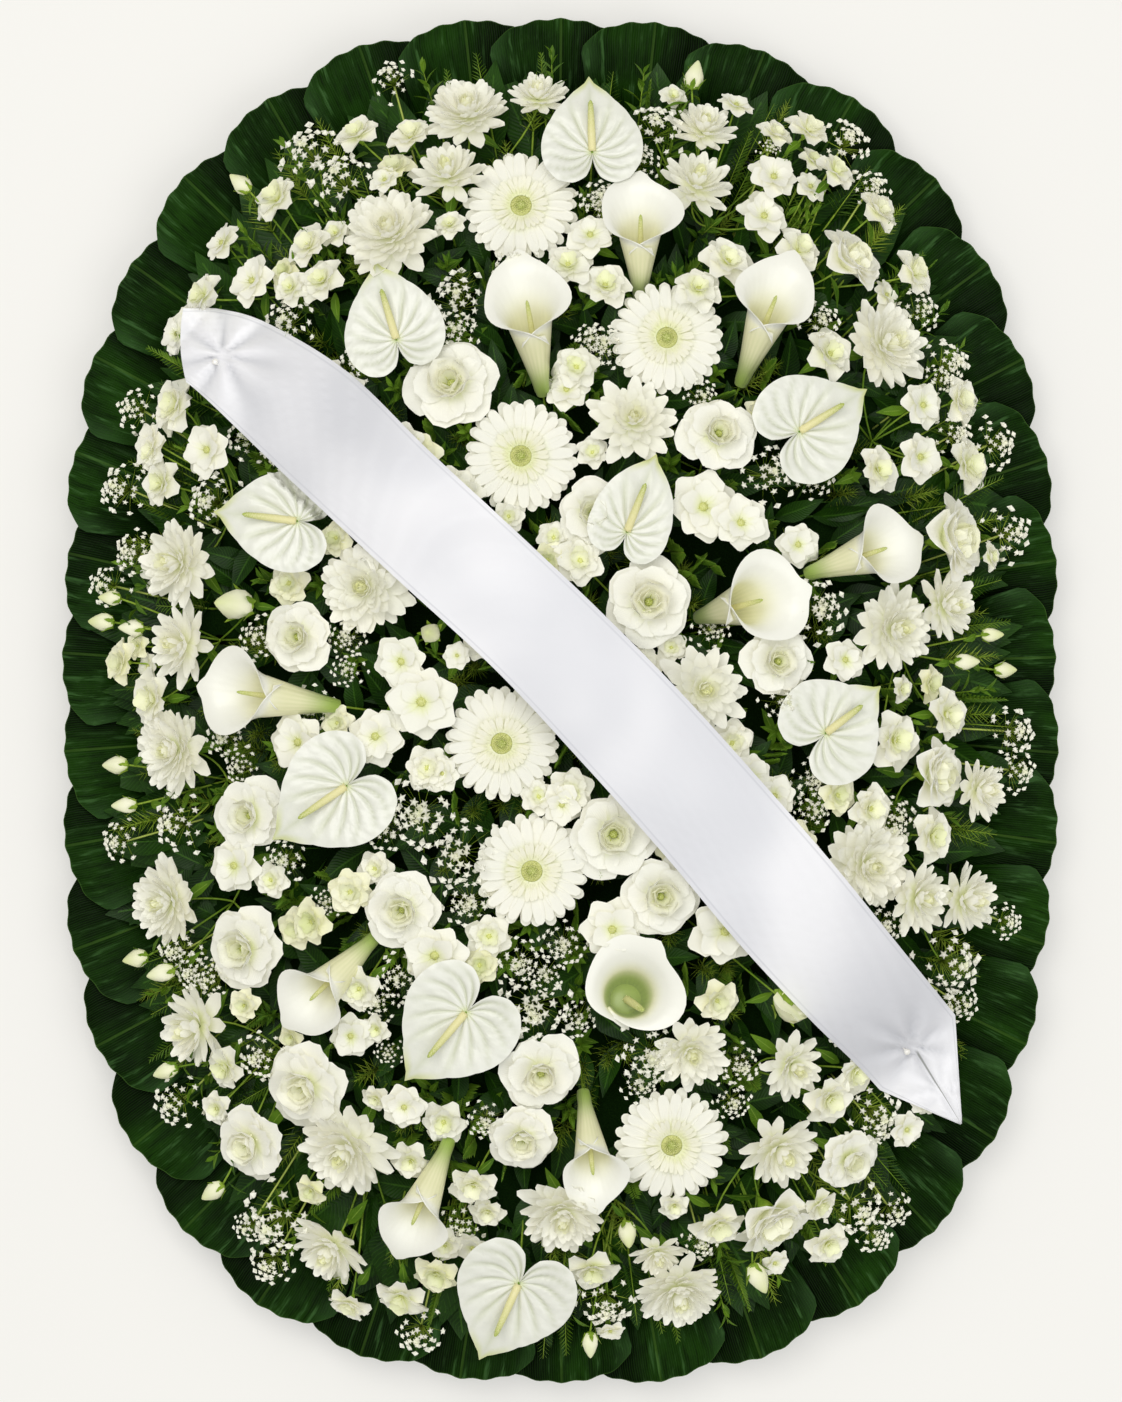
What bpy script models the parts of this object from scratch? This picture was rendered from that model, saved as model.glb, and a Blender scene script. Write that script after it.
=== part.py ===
# An oval memorial wreath lying on its back with its flowers up: a tray, a floral foam pad, a garland of
# broad leaves round the rim, stems standing in holes in the foam, and a satin ribbon pinned across.
# Sizes are in millimetres and are turned into metres where a mesh is made. +X is right and +Y is up on
# the wreath as it is shown, and +Z leaves the surface that it lies on. The origin is under its middle.

import math
import random

import bpy
from mathutils import Matrix, Vector
from mathutils.bvhtree import BVHTree

MM = 0.001
UP = Vector((0, 0, 1))
GAP = 0.3

# The oval, which is a rounded rectangle's curve: |x/a|^n + |y/b|^n = 1
OVAL_POWER = 2.5
RIM_HALF = (502.0, 690.0)
FOAM_HALF = (396.0, 582.0)
BLOOM_HALF = (440.0, 635.0)

# The tray and the foam pad in it
TRAY_WALL = 1.6
TRAY_FLOOR = 3.0
TRAY_DEPTH = 33.0
BRIM_WIDTH = 30.0
FOAM_TOP = 76.0
FOAM_SHOULDER = 20.0
STEM_DEPTH = 28.0

# The leaves of the rim
LEAF_COUNT = 38
GARLANDS = 6
LEAF_THICK = 1.1
LEAF_ROOT_HALF = 22.0
LEAF_HALF = 64.0
LEAF_LAP_ANGLE = math.radians(7)
LEAF_RISE = 12.0
PLEAT = 2.2
SPINE_RADIUS = 5.0

# The dome of the blooms
DOME_EDGE = 106.0
DOME_RISE = 90.0
BLOOM_SHRINK = 0.92
LIFTS = (0, 5, -5, 10, -10, 15, -15, 20, -20, 26, -26, 32, 38, 44)
FOOT_INSET = 0.86
STEM_SIDES = 3
MAIN_STEM_SIDES = 4
MAIN_STEM_RADIUS = 6.5
MAIN_STEM_RISE = 32.0
BRANCH_LOWEST = 8.0
SETTLING_ORDER = ("mum", "lisianthus", "rose", "small_mum", "daisy", "floret", "bud", "gypsophila")
SEED = 7

# The dark leaves between the rim and the blooms, and the fern fronds among the blooms. Each row is
# (share of the length, share of the half width), and the tip closes them.
BLADE_THICK = 0.9
SPATHE_THICK = 1.2
INNER_LEAF_LENGTH = 130.0
INNER_LEAF_HALF = 27.0
LEAF_TIP_HEIGHTS = (62, 70, 80)
LEAF_ROWS = ((0.0, 0.1), (0.35, 0.85), (0.65, 1.0))
FROND_HALF = 15.0
FROND_ROWS = ((0.0, 0.1), (0.42, 0.8), (0.5, 0.25), (0.68, 1.0), (0.75, 0.2))

# The ribbon
RIBBON_WIDTH = 110.0
RIBBON_THICK = 0.8
RIBBON_START = (-374, 362)
RIBBON_MIDDLE = (42, -2)
RIBBON_END = (402, -423)
RIBBON_CLEAR = 44.0
RIBBON_END_HEIGHT = 100.0
RIBBON_STATIONS = 14
PIN_PLACES = {"ribbon_pin_upper": (-336, 348), "ribbon_pin_lower": (348, -343)}
PIN_RADIUS = 0.9
PIN_HEAD = 3.2
PIN_LEAN_ROOM = 0.6

# A bloom: its petals, whether they are blunt, its layers as (length, elevation in degrees) with lengths in
# bloom radii, how deep the notch between petals goes, the height of its crown, how far it tips outwards at
# the rim, and its stem's radius
KINDS = {
    "gerbera": dict(petals=14, blunt=False, layers=((1.0, -3), (0.93, 5)), notch=0.5, crown=0.13,
                    tip=20, stem=3.4, disc=0.25),
    "mum": dict(petals=8, blunt=False, layers=((1.0, 2), (0.88, 30), (0.64, 54)), notch=0.62, crown=0.42,
                tip=50, stem=2.2),
    "small_mum": dict(petals=8, blunt=False, layers=((1.0, 6), (0.8, 38)), notch=0.62, crown=0.36,
                      tip=56, stem=1.9),
    "lisianthus": dict(petals=5, blunt=True, layers=((1.0, 14), (0.74, 54)), notch=0.8, crown=0.3,
                       tip=44, stem=2.0),
    "rose": dict(petals=5, blunt=True, layers=((1.0, 38), (0.8, 66)), notch=0.78, crown=0.5, tip=74,
                 stem=2.4),
    "daisy": dict(petals=6, blunt=False, layers=((1.0, 18),), notch=0.62, crown=0.1, tip=46, stem=1.8),
    "floret": dict(petals=5, blunt=False, layers=((1.0, 24),), notch=0.62, crown=0.22, tip=60, stem=1.6),
    "bud": dict(tip=76, stem=1.6, crown=3.0),
    "gypsophila": dict(petals=5, blunt=False, layers=((1.0, 22), (1.0, 62)), notch=0.14, crown=0.5,
                       tip=40, stem=1.4),
    "anthurium": dict(tip=18, stem=3.2),
    "calla": dict(stem=5.0),
}

GERBERAS = [(-39, 498), (107, 364), (-39, 245), (-58, -41), (-28, -168), (112, -444)]
GERBERA_RADIUS = 53

# Each anthurium: where its stem meets the spathe, the way the tip points in degrees, its length and width
ANTHURIUMS = [
    (32, 547, 92, 84, 102),
    (-162, 359, 106, 86, 102),
    (237, 268, 32, 86, 112),
    (-260, 179, 173, 90, 104),
    (66, 168, 69, 86, 82),
    (263, -31, 39, 76, 112),
    (-211, -83, 215, 96, 118),
    (-93, -307, 229, 97, 120),
    (-41, -579, 245, 95, 122),
]

# Each calla: the throat's foot, the way it points, how steeply it stands, its length and its mouth
CALLAS = [
    (80, 402, 90, 32, 130, 80),
    (-17, 307, 100, 34, 150, 86),
    (180, 317, 68, 32, 148, 80),
    (245, 127, 18, 22, 122, 80),
    (137, 84, 15, 46, 128, 88),
    (-220, -4, 172, 20, 146, 84),
    (62, -302, 60, 78, 110, 100),
    (-182, -232, 224, 20, 132, 74),
    (-110, -436, 246, 20, 132, 72),
    (23, -388, 277, 30, 128, 66),
]

# Each spray: where its main stem stands, and its blooms as (kind, x, y, radius)
SPRAYS = {
    "spray_top_left": ((-120, 552), [
        ("mum", -93, 592, 42), ("small_mum", -112, 528, 35), ("small_mum", -22, 607, 28),
        ("floret", -150, 567, 20), ("floret", -203, 569, 20), ("gypsophila", -220, 524, 24)]),
    "spray_upper_left": ((-262, 468), [
        ("mum", -170, 470, 48), ("floret", -285, 505, 22), ("bud", -318, 517, 8),
        ("floret", -252, 456, 20), ("daisy", -310, 422, 26), ("floret", -360, 407, 20),
        ("floret", -238, 421, 20), ("gypsophila", -252, 552, 24)]),
    "spray_top_right": ((165, 535), [
        ("small_mum", 144, 574, 32), ("small_mum", 137, 518, 36), ("bud", 134, 624, 9),
        ("daisy", 215, 527, 26), ("daisy", 205, 487, 27), ("floret", 250, 574, 20),
        ("gypsophila", 96, 577, 20)]),
    "spray_upper_right": ((255, 455), [
        ("floret", 278, 532, 18), ("floret", 320, 492, 20), ("floret", 357, 430, 20),
        ("rose", 290, 440, 35), ("floret", 240, 452, 20), ("floret", 168, 440, 22),
        ("floret", 138, 412, 20)]),
    "spray_top_centre": ((28, 440), [
        ("daisy", 30, 467, 24), ("floret", 8, 436, 20), ("floret", 45, 415, 20)]),
    "spray_right_shoulder": ((345, 288), [
        ("mum", 328, 357, 44), ("floret", 270, 347, 22), ("daisy", 365, 297, 24),
        ("floret", 402, 302, 20), ("floret", 410, 237, 24), ("daisy", 362, 245, 26),
        ("floret", 318, 232, 20), ("gypsophila", 392, 338, 18)]),
    "spray_right": ((355, 52), [
        ("rose", 392, 162, 42), ("small_mum", 388, 97, 34), ("mum", 335, 72, 42),
        ("daisy", 285, 42, 22), ("floret", 388, -12, 22), ("floret", 335, -38, 24),
        ("bud", 404, 40, 8), ("bud", 443, 32, 7), ("bud", 430, 67, 7)]),
    "spray_right_low": ((350, -140), [
        ("rose", 375, -73, 35), ("small_mum", 422, -88, 30), ("mum", 308, -163, 46),
        ("floret", 310, -106, 21), ("small_mum", 360, -196, 34), ("small_mum", 408, -198, 35),
        ("floret", 374, -134, 22), ("gypsophila", 395, -262, 24)]),
    "spray_left_shoulder": ((-352, 212), [
        ("floret", -388, 297, 24), ("daisy", -355, 252, 28), ("floret", -400, 218, 20),
        ("mum", -385, 139, 42), ("gypsophila", -350, 200, 20)]),
    "spray_left": ((-340, 62), [
        ("small_mum", -380, 57, 37), ("bud", -448, 104, 7), ("bud", -456, 80, 8), ("bud", -426, 74, 8),
        ("bud", -322, 97, 14), ("lisianthus", -262, 65, 34), ("floret", -410, 2, 24)]),
    "spray_left_low": ((-332, -78), [
        ("mum", -388, -48, 42), ("bud", -442, -63, 8), ("bud", -433, -103, 8),
        ("lisianthus", -310, -113, 36), ("daisy", -262, -40, 30), ("gypsophila", -385, -122, 20)]),
    "spray_left_foot": ((-340, -208), [
        ("mum", -395, -200, 42), ("daisy", -327, -163, 28), ("lisianthus", -317, -246, 40),
        ("bud", -422, -256, 8), ("bud", -396, -270, 9)]),
    "spray_lower_left": ((-298, -378), [
        ("small_mum", -367, -325, 40), ("lisianthus", -255, -383, 42), ("floret", -336, -366, 20),
        ("bud", -392, -368, 8), ("lisianthus", -312, -441, 38), ("bud", -345, -488, 8)]),
    "spray_bottom_left": ((-220, -508), [
        ("mum", -215, -448, 48), ("small_mum", -230, -548, 38), ("floret", -160, -598, 22),
        ("floret", -212, -604, 18), ("gypsophila", -286, -522, 26)]),
    "spray_bottom": ((62, -552), [
        ("mum", 3, -513, 42), ("bud", 67, -528, 9), ("mum", 120, -593, 42), ("small_mum", 98, -552, 24),
        ("floret", 32, -568, 22), ("bud", 30, -640, 8), ("gypsophila", 46, -604, 20)]),
    "spray_bottom_right": ((225, -482), [
        ("small_mum", 220, -448, 38), ("lisianthus", 290, -458, 31), ("rose", 212, -516, 40),
        ("floret", 158, -523, 22), ("bud", 197, -573, 10), ("gypsophila", 300, -508, 20)]),
    "spray_lower_right": ((190, -368), [
        ("small_mum", 233, -363, 32), ("floret", 270, -396, 22), ("floret", 296, -370, 20),
        ("small_mum", 130, -348, 36), ("gypsophila", 318, -412, 22), ("gypsophila", 90, -352, 22)]),
    "spray_lower_centre": ((-40, -402), [
        ("lisianthus", -19, -370, 38), ("lisianthus", -37, -435, 33), ("floret", -86, -482, 20),
        ("gypsophila", -26, -305, 26)]),
    "spray_centre_low": ((95, -190), [
        ("lisianthus", 53, -131, 42), ("lisianthus", 100, -193, 38), ("daisy", 52, -226, 31),
        ("daisy", 165, -228, 36), ("bud", 230, -300, 16)]),
    "spray_centre_low_left": ((-138, -190), [
        ("lisianthus", -157, -206, 37), ("daisy", -125, -252, 33), ("floret", -200, -285, 18),
        ("gypsophila", -100, -150, 26), ("gypsophila", -140, -110, 26)]),
    "spray_centre_left": ((-158, 52), [
        ("mum", -195, 114, 45), ("bud", -128, 68, 9), ("daisy", -102, 46, 14), ("daisy", -158, 40, 27),
        ("daisy", -138, 0, 36), ("daisy", -184, -34, 30)]),
    "spray_centre": ((98, 62), [
        ("lisianthus", 32, 187, 35), ("lisianthus", 88, 99, 42), ("small_mum", 143, 12, 40),
        ("lisianthus", 217, 40, 34), ("floret", 20, 140, 20), ("gypsophila", 258, 92, 22)]),
    "spray_centre_right": ((140, 232), [
        ("lisianthus", 158, 267, 37), ("small_mum", 73, 280, 41), ("daisy", 143, 194, 35),
        ("daisy", 180, 178, 29), ("gypsophila", 208, 228, 22)]),
    "spray_centre_top_left": ((-112, 330), [
        ("lisianthus", -108, 317, 44), ("gypsophila", -102, 400, 24)]),
}


def signed_power(value, power):
    return math.copysign(abs(value) ** power, value)


def oval_point(half, turn):
    """A point of the oval curve with these half axes."""
    x = half[0] * signed_power(math.cos(turn), 2 / OVAL_POWER)
    y = half[1] * signed_power(math.sin(turn), 2 / OVAL_POWER)
    return Vector((x, y))


def oval_share(x, y, half):
    """0 at the middle and 1 on the oval curve."""
    return (abs(x / half[0]) ** OVAL_POWER + abs(y / half[1]) ** OVAL_POWER) ** (1 / OVAL_POWER)


def outwards(x, y, half=BLOOM_HALF):
    """The way that the oval faces at a place on the plan."""
    slope = Vector((
        signed_power(x / half[0], OVAL_POWER - 1) / half[0],
        signed_power(y / half[1], OVAL_POWER - 1) / half[1],
    ))
    return slope.normalized() if slope.length > 1e-9 else Vector((0, 1))


def even_stations(half, count):
    """Points evenly spaced along the oval curve, each with its outward direction."""
    dense = [oval_point(half, 2 * math.pi * k / 2400) for k in range(2401)]
    runs = [0.0]
    for before, after in zip(dense, dense[1:]):
        runs.append(runs[-1] + (after - before).length)
    stations = []
    at = 0
    for k in range(count):
        want = runs[-1] * k / count
        while runs[at + 1] < want:
            at += 1
        share = (want - runs[at]) / (runs[at + 1] - runs[at])
        point = dense[at].lerp(dense[at + 1], share)
        stations.append((point, outwards(point.x, point.y, half)))
    return stations


STATIONS = even_stations(FOAM_HALF, LEAF_COUNT)


def dome_height(x, y):
    """The height of a bloom's heart over the surface that the wreath lies on."""
    share = min(1.0, oval_share(x, y, BLOOM_HALF))
    return DOME_EDGE + DOME_RISE * (1 - share**2)


class Shape:
    """A closed surface: points in millimetres, and triangles that face outwards."""

    def __init__(self):
        self.points = []
        self.faces = []

    def ring(self, points):
        first = len(self.points)
        self.points.extend(Vector(p) for p in points)
        return list(range(first, first + len(points)))

    def cap(self, ring, point, top):
        """Closes a ring to one point, over it or under it."""
        centre = self.ring([point])[0]
        for here, after in zip(ring, ring[1:] + ring[:1]):
            self.faces.append((here, after, centre) if top else (after, here, centre))

    def close(self, ring, top):
        """Closes a flat ring without another point."""
        for here, after in zip(ring[1:], ring[2:]):
            self.faces.append((ring[0], here, after) if top else (ring[0], after, here))

    def stitch(self, low, high, low_notches=()):
        """Joins two rings that run the same way round. Each quad is split from a notch of the lower one."""
        count = len(low)
        if len(high) != count:
            self.stitch_uneven(low, high)
            return
        for i in range(count):
            j = (i + 1) % count
            if i in low_notches:
                self.faces += [(low[i], low[j], high[j]), (low[i], high[j], high[i])]
            else:
                self.faces += [(low[i], low[j], high[i]), (low[j], high[j], high[i])]

    def stitch_uneven(self, low, high):
        i = j = 0
        while i < len(low) or j < len(high):
            if j == len(high) or (i < len(low) and (i + 0.5) / len(low) <= (j + 0.5) / len(high)):
                self.faces.append((low[i], low[(i + 1) % len(low)], high[j % len(high)]))
                i += 1
            else:
                self.faces.append((low[i % len(low)], high[(j + 1) % len(high)], high[j]))
                j += 1

    def moved(self, offset):
        other = Shape()
        other.points = [p + offset for p in self.points]
        other.faces = list(self.faces)
        return other

    def swelled(self, by):
        """The same shape, larger about its own middle by a length all round."""
        middle = sum(self.points, Vector()) / len(self.points)
        other = Shape()
        for p in self.points:
            away = p - middle
            other.points.append(p + away.normalized() * by if away.length > 1e-6 else p)
        other.faces = list(self.faces)
        return other

    def tree(self):
        return BVHTree.FromPolygons([tuple(p) for p in self.points], self.faces)

    def box(self):
        low = [min(p[k] for p in self.points) for k in range(3)]
        high = [max(p[k] for p in self.points) for k in range(3)]
        return low, high


def side_frame(axis, spin=0.0):
    """Two directions square to an axis and to each other."""
    axis = axis.normalized()
    first = axis.orthogonal().normalized()
    turn = Matrix.Rotation(spin, 3, axis)
    first = turn @ first
    return first, axis.cross(first)


def circle(centre, frame, radius, count):
    first, second = frame
    turns = [2 * math.pi * k / count for k in range(count)]
    return [centre + (first * math.cos(turn) + second * math.sin(turn)) * radius for turn in turns]


def tube_rings(path, radii, sides, frame):
    """Rings along a path that starts with this frame, carried along without twisting."""
    first = frame[0]
    rings = []
    for k, point in enumerate(path):
        before = path[max(0, k - 1)]
        after = path[min(len(path) - 1, k + 1)]
        axis = (after - before).normalized()
        first = (first - axis * first.dot(axis)).normalized()
        rings.append(circle(point, (first, axis.cross(first)), radii[k], sides))
    return rings


def stem_shape(path, radii, sides=STEM_SIDES):
    """A closed tube from the first point of the path up to the last."""
    shape = Shape()
    frame = side_frame(path[1] - path[0])
    rings = [shape.ring(r) for r in tube_rings(path, radii, sides, frame)]
    shape.close(rings[0], False)
    for low, high in zip(rings, rings[1:]):
        shape.stitch(low, high)
    shape.close(rings[-1], True)
    return shape


def petal_ring(kind, layer, radius, centre, axis, frame):
    """One layer's points: the notches between petals, and the petals' tips. Returns them and the notches."""
    length, lift = kind["layers"][layer]
    per_petal = 3 if kind["blunt"] else 2
    count = kind["petals"] * per_petal
    pitch = 2 * math.pi / kind["petals"]
    points = []
    notches = set()
    for i in range(count):
        place = (i - layer) % per_petal
        turn = (i + (layer / 2 if kind["blunt"] else 0)) * pitch / per_petal
        reach = radius * length
        if place == 0:
            reach *= kind["notch"]
            notches.add(i)
        elif kind["blunt"]:
            turn += (place - 1.5) * 0.2 * pitch
        rise = math.radians(lift)
        out = frame[0] * math.cos(turn) + frame[1] * math.sin(turn)
        points.append(centre + out * reach * math.cos(rise) + axis * reach * math.sin(rise))
    return points, notches


def rosette(shape, below, kind, centre, axis, radius, frame):
    """Grows layered petals on the ring below them, and closes them at the crown."""
    low = below
    low_notches = set()
    for layer in range(len(kind["layers"])):
        points, notches = petal_ring(kind, layer, radius, centre, axis, frame)
        ring = shape.ring(points)
        shape.stitch(low, ring, low_notches)
        low, low_notches = ring, notches
    if "disc" in kind:
        edge = centre + axis * radius * kind["crown"] * 0.6
        ring = shape.ring(circle(edge, frame, radius * kind["disc"], len(low) // 4))
        shape.stitch(low, ring)
        low = ring
    shape.cap(low, centre + axis * radius * kind["crown"], True)


def bud_rings(shape, below, centre, axis, radius, frame):
    """A closed bud: a spindle three times as long as it is wide."""
    low = below
    for along, wide in ((0.2, 0.75), (1.3, 1.0), (2.3, 0.62)):
        ring = shape.ring(circle(centre + axis * radius * along, frame, radius * wide, 5))
        shape.stitch(low, ring)
        low = ring
    shape.cap(low, centre + axis * radius * KINDS["bud"]["crown"], True)


class Bloom:
    """A bloom of the table, in its place on the dome, before its stem is drawn."""

    def __init__(self, kind_name, x, y, radius, order):
        self.kind_name = kind_name
        self.kind = KINDS[kind_name]
        self.radius = radius * BLOOM_SHRINK
        self.spin = order * math.radians(47)
        share = min(1.1, oval_share(x, y, BLOOM_HALF))
        lean = math.radians(self.kind["tip"]) * share**1.6
        out = outwards(x, y)
        self.axis = Vector((out.x * math.sin(lean), out.y * math.sin(lean), math.cos(lean)))
        reach = self.radius * (1.4 if kind_name == "bud" else 0.3)
        flat = Vector((self.axis.x, self.axis.y, 0)) * reach
        self.heart = Vector((x, y, dome_height(x, y) - 0.2 * self.radius)) - flat
        self.lift = 0.0

    def neck(self):
        """Where the stem meets the bloom."""
        back = {"bud": 0.0, "gypsophila": 0.9}.get(self.kind_name, 0.34) * self.radius
        return self.heart + UP * self.lift - self.axis * back

    def grow(self, shape, below):
        centre = self.heart + UP * self.lift
        frame = side_frame(self.axis, self.spin)
        if self.kind_name == "bud":
            bud_rings(shape, below, centre, self.axis, self.radius, frame)
        else:
            rosette(shape, below, self.kind, centre, self.axis, self.radius, frame)

    def head(self):
        """The bloom alone, with a stub of its stem, as it is at its present height."""
        shape = Shape()
        neck = self.neck()
        frame = side_frame(self.axis, self.spin)
        below = shape.ring(circle(neck, frame, self.kind["stem"], STEM_SIDES))
        shape.close(below, False)
        self.grow(shape, below)
        return shape

    def whole(self, path):
        """The bloom on its stem, in one surface. The path runs from the neck down."""
        frame = side_frame(self.axis, self.spin)
        radii = [self.kind["stem"]] * len(path)
        rings = tube_rings(path, radii, STEM_SIDES, frame)
        shape = Shape()
        # The path runs down, so its rings turn the other way round and are put back.
        drawn = [shape.ring([r[0]] + r[:0:-1]) for r in rings[::-1]]
        shape.close(drawn[0], False)
        for low, high in zip(drawn, drawn[1:]):
            shape.stitch(low, high)
        self.grow(shape, drawn[-1])
        return shape


class Crowd:
    """The shapes already in place. It finds what a new one would cross."""

    def __init__(self):
        self.members = []

    def add(self, label, shape):
        self.members.append((label, shape.tree(), shape.box()))

    def crossed(self, shape, but=()):
        low, high = shape.box()
        tree = None
        for label, other, (other_low, other_high) in self.members:
            if label in but:
                continue
            if any(low[k] > other_high[k] or high[k] < other_low[k] for k in range(3)):
                continue
            tree = tree or shape.tree()
            if tree.overlap(other):
                return label
        return None


def to_object(name, shape, material):
    mesh = bpy.data.meshes.new(name)
    mesh.from_pydata([tuple(p * MM) for p in shape.points], [], shape.faces)
    mesh.materials.append(material)
    thing = bpy.data.objects.new(name, mesh)
    bpy.context.scene.collection.objects.link(thing)
    return thing


def fused(name, shapes, material):
    """One closed object from shapes that run into each other."""
    base = to_object(name, shapes[0], material)
    joined = bpy.data.collections.new(name + "_pieces")
    for k, shape in enumerate(shapes[1:]):
        piece = to_object(f"{name}_piece_{k}", shape, material)
        bpy.context.scene.collection.objects.unlink(piece)
        joined.objects.link(piece)
    union = base.modifiers.new("join", "BOOLEAN")
    union.operation = "UNION"
    union.solver = "MANIFOLD"
    union.operand_type = "COLLECTION"
    union.collection = joined
    keep_result(base, union)
    for piece in list(joined.objects):
        bpy.data.objects.remove(piece)
    bpy.data.collections.remove(joined)


def keep_result(thing, modifier):
    """Replaces an object's mesh by what its modifier makes."""
    bpy.context.view_layer.update()
    graph = bpy.context.evaluated_depsgraph_get()
    mesh = bpy.data.meshes.new_from_object(thing.evaluated_get(graph))
    thing.modifiers.remove(modifier)
    thing.data = mesh


def make_material(name, colour, roughness, metallic=0.0):
    material = bpy.data.materials.new(name)
    material.use_nodes = True
    shader = material.node_tree.nodes["Principled BSDF"]
    shader.inputs["Base Color"].default_value = (*colour, 1)
    shader.inputs["Roughness"].default_value = roughness
    shader.inputs["Metallic"].default_value = metallic
    return material


def turned_on_oval(profile, floor, top):
    """A closed solid from a profile of (offset from the foam's outline, height), with its two middles."""
    shape = Shape()
    rings = []
    for offset, height in profile:
        rings.append(shape.ring([(*(p + out * offset), height) for p, out in STATIONS]))
    shape.cap(rings[0], (0, 0, floor), False)
    for low, high in zip(rings, rings[1:]):
        shape.stitch(low, high)
    shape.cap(rings[-1], (0, 0, top), True)
    return shape


def tray_shape():
    inner = 0.8
    wall = inner + TRAY_WALL
    brim = wall + BRIM_WIDTH
    under_brim = TRAY_DEPTH - TRAY_WALL
    profile = [
        (wall, 0), (wall, under_brim), (brim, under_brim), (brim, TRAY_DEPTH), (inner, TRAY_DEPTH),
        (inner, TRAY_FLOOR),
    ]
    return turned_on_oval(profile, 0, TRAY_FLOOR)


def foam_shape():
    bottom = TRAY_FLOOR + GAP
    profile = [(0, bottom), (0, FOAM_TOP - FOAM_SHOULDER), (-FOAM_SHOULDER, FOAM_TOP)]
    return turned_on_oval(profile, bottom, FOAM_TOP)


def station_at(place):
    """A point of the foam's outline between two stations, with its outward direction."""
    low = math.floor(place)
    share = place - low
    first, first_out = STATIONS[low % LEAF_COUNT]
    second, second_out = STATIONS[(low + 1) % LEAF_COUNT]
    return first.lerp(second, share), first_out.lerp(second_out, share)


def leaf_shape(place, rng):
    """One broad pleated leaf of the rim, from the garland's spine out to the wreath's edge."""
    root, out = station_at(place)
    edge_share = oval_share(root.x, root.y, RIM_HALF)
    reach = (root / edge_share - root).length * rng.uniform(0.95, 1.0)
    yaw = Matrix.Rotation(math.radians(rng.uniform(-3, 3)), 2)
    way = (yaw @ (root / edge_share - root).normalized().lerp(out, 0.5)).normalized()
    across = Vector((-way.y, way.x))
    start = root + out * (SPINE_RADIUS + 1)
    reach -= SPINE_RADIUS + 1
    level = TRAY_DEPTH + GAP + SPINE_RADIUS * 0.7
    columns = (-1, -0.35, 0.35, 1)
    rows = ((0.0, LEAF_ROOT_HALF), (0.5, LEAF_HALF * 0.93), (1.0, LEAF_HALF))
    shape = Shape()
    sheets = []
    for side in (1, -1):
        sheet = []
        for share, half in rows:
            line = []
            for k, s in enumerate(columns):
                along = reach * share * (1 - 0.26 * s * s * share)
                fold = PLEAT * share * (1 if k % 2 else -1)
                lap = s * half * math.sin(LEAF_LAP_ANGLE)
                rise = LEAF_RISE * math.sin(math.pi * 0.62 * share)
                flat = start + way * along + across * s * half
                line.append((flat.x, flat.y, level + fold + lap + rise + side * LEAF_THICK / 2))
            sheet.append(shape.ring(line))
        sheets.append(sheet)
    top, bottom = sheets
    last = len(columns) - 1
    for r in range(len(rows) - 1):
        for c in range(last):
            for sheet, flip in ((top, False), (bottom, True)):
                a, b, d, e = sheet[r][c], sheet[r][c + 1], sheet[r + 1][c + 1], sheet[r + 1][c]
                for face in ((a, d, b), (a, e, d)):
                    shape.faces.append(face[::-1] if flip else face)
    rim = [top[0][c] for c in range(last)] + [top[r][last] for r in range(len(rows) - 1)]
    rim += [top[-1][c] for c in range(last, 0, -1)] + [top[r][0] for r in range(len(rows) - 1, 0, -1)]
    offset = bottom[0][0] - top[0][0]
    for here, after in zip(rim, rim[1:] + rim[:1]):
        shape.faces += [(here, after, after + offset), (here, after + offset, here + offset)]
    return shape


def garland_shapes(number, rng):
    """One length of the leaf garland: its spine, which lies on the brim against the foam, and its leaves."""
    first = round(number * LEAF_COUNT / GARLANDS)
    last = round((number + 1) * LEAF_COUNT / GARLANDS)
    places = [first + 0.04] + list(range(first + 1, last)) + [last - 0.04]
    side = SPINE_RADIUS * math.cos(math.pi / 4)
    path = []
    for place in places:
        point, out = station_at(place)
        path.append(Vector((*(point + out * (side + 1.2)), TRAY_DEPTH + GAP + side)))
    axis = (path[1] - path[0]).normalized()
    corner = (UP + axis.cross(UP)).normalized()
    shape = Shape()
    rings = [shape.ring(r) for r in tube_rings(path, [SPINE_RADIUS] * len(path), 4, (corner, None))]
    shape.close(rings[0], False)
    for low, high in zip(rings, rings[1:]):
        shape.stitch(low, high)
    shape.close(rings[-1], True)
    return [shape] + [leaf_shape(place + 0.5, rng) for place in range(first, last)]


def spathe_axes(x, y, heading):
    """The way that a spathe faces, and the way that its tip points along it."""
    lean = math.radians(KINDS["anthurium"]["tip"]) * min(1.0, oval_share(x, y, BLOOM_HALF))
    out = outwards(x, y)
    axis = Vector((out.x * math.sin(lean), out.y * math.sin(lean), math.cos(lean)))
    tip = Vector((math.cos(math.radians(heading)), math.sin(math.radians(heading)), 0))
    return axis, (tip - axis * tip.dot(axis)).normalized()


def spathe_heart(x, y, lift):
    return Vector((x, y, dome_height(x, y) + 6 + lift))


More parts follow.
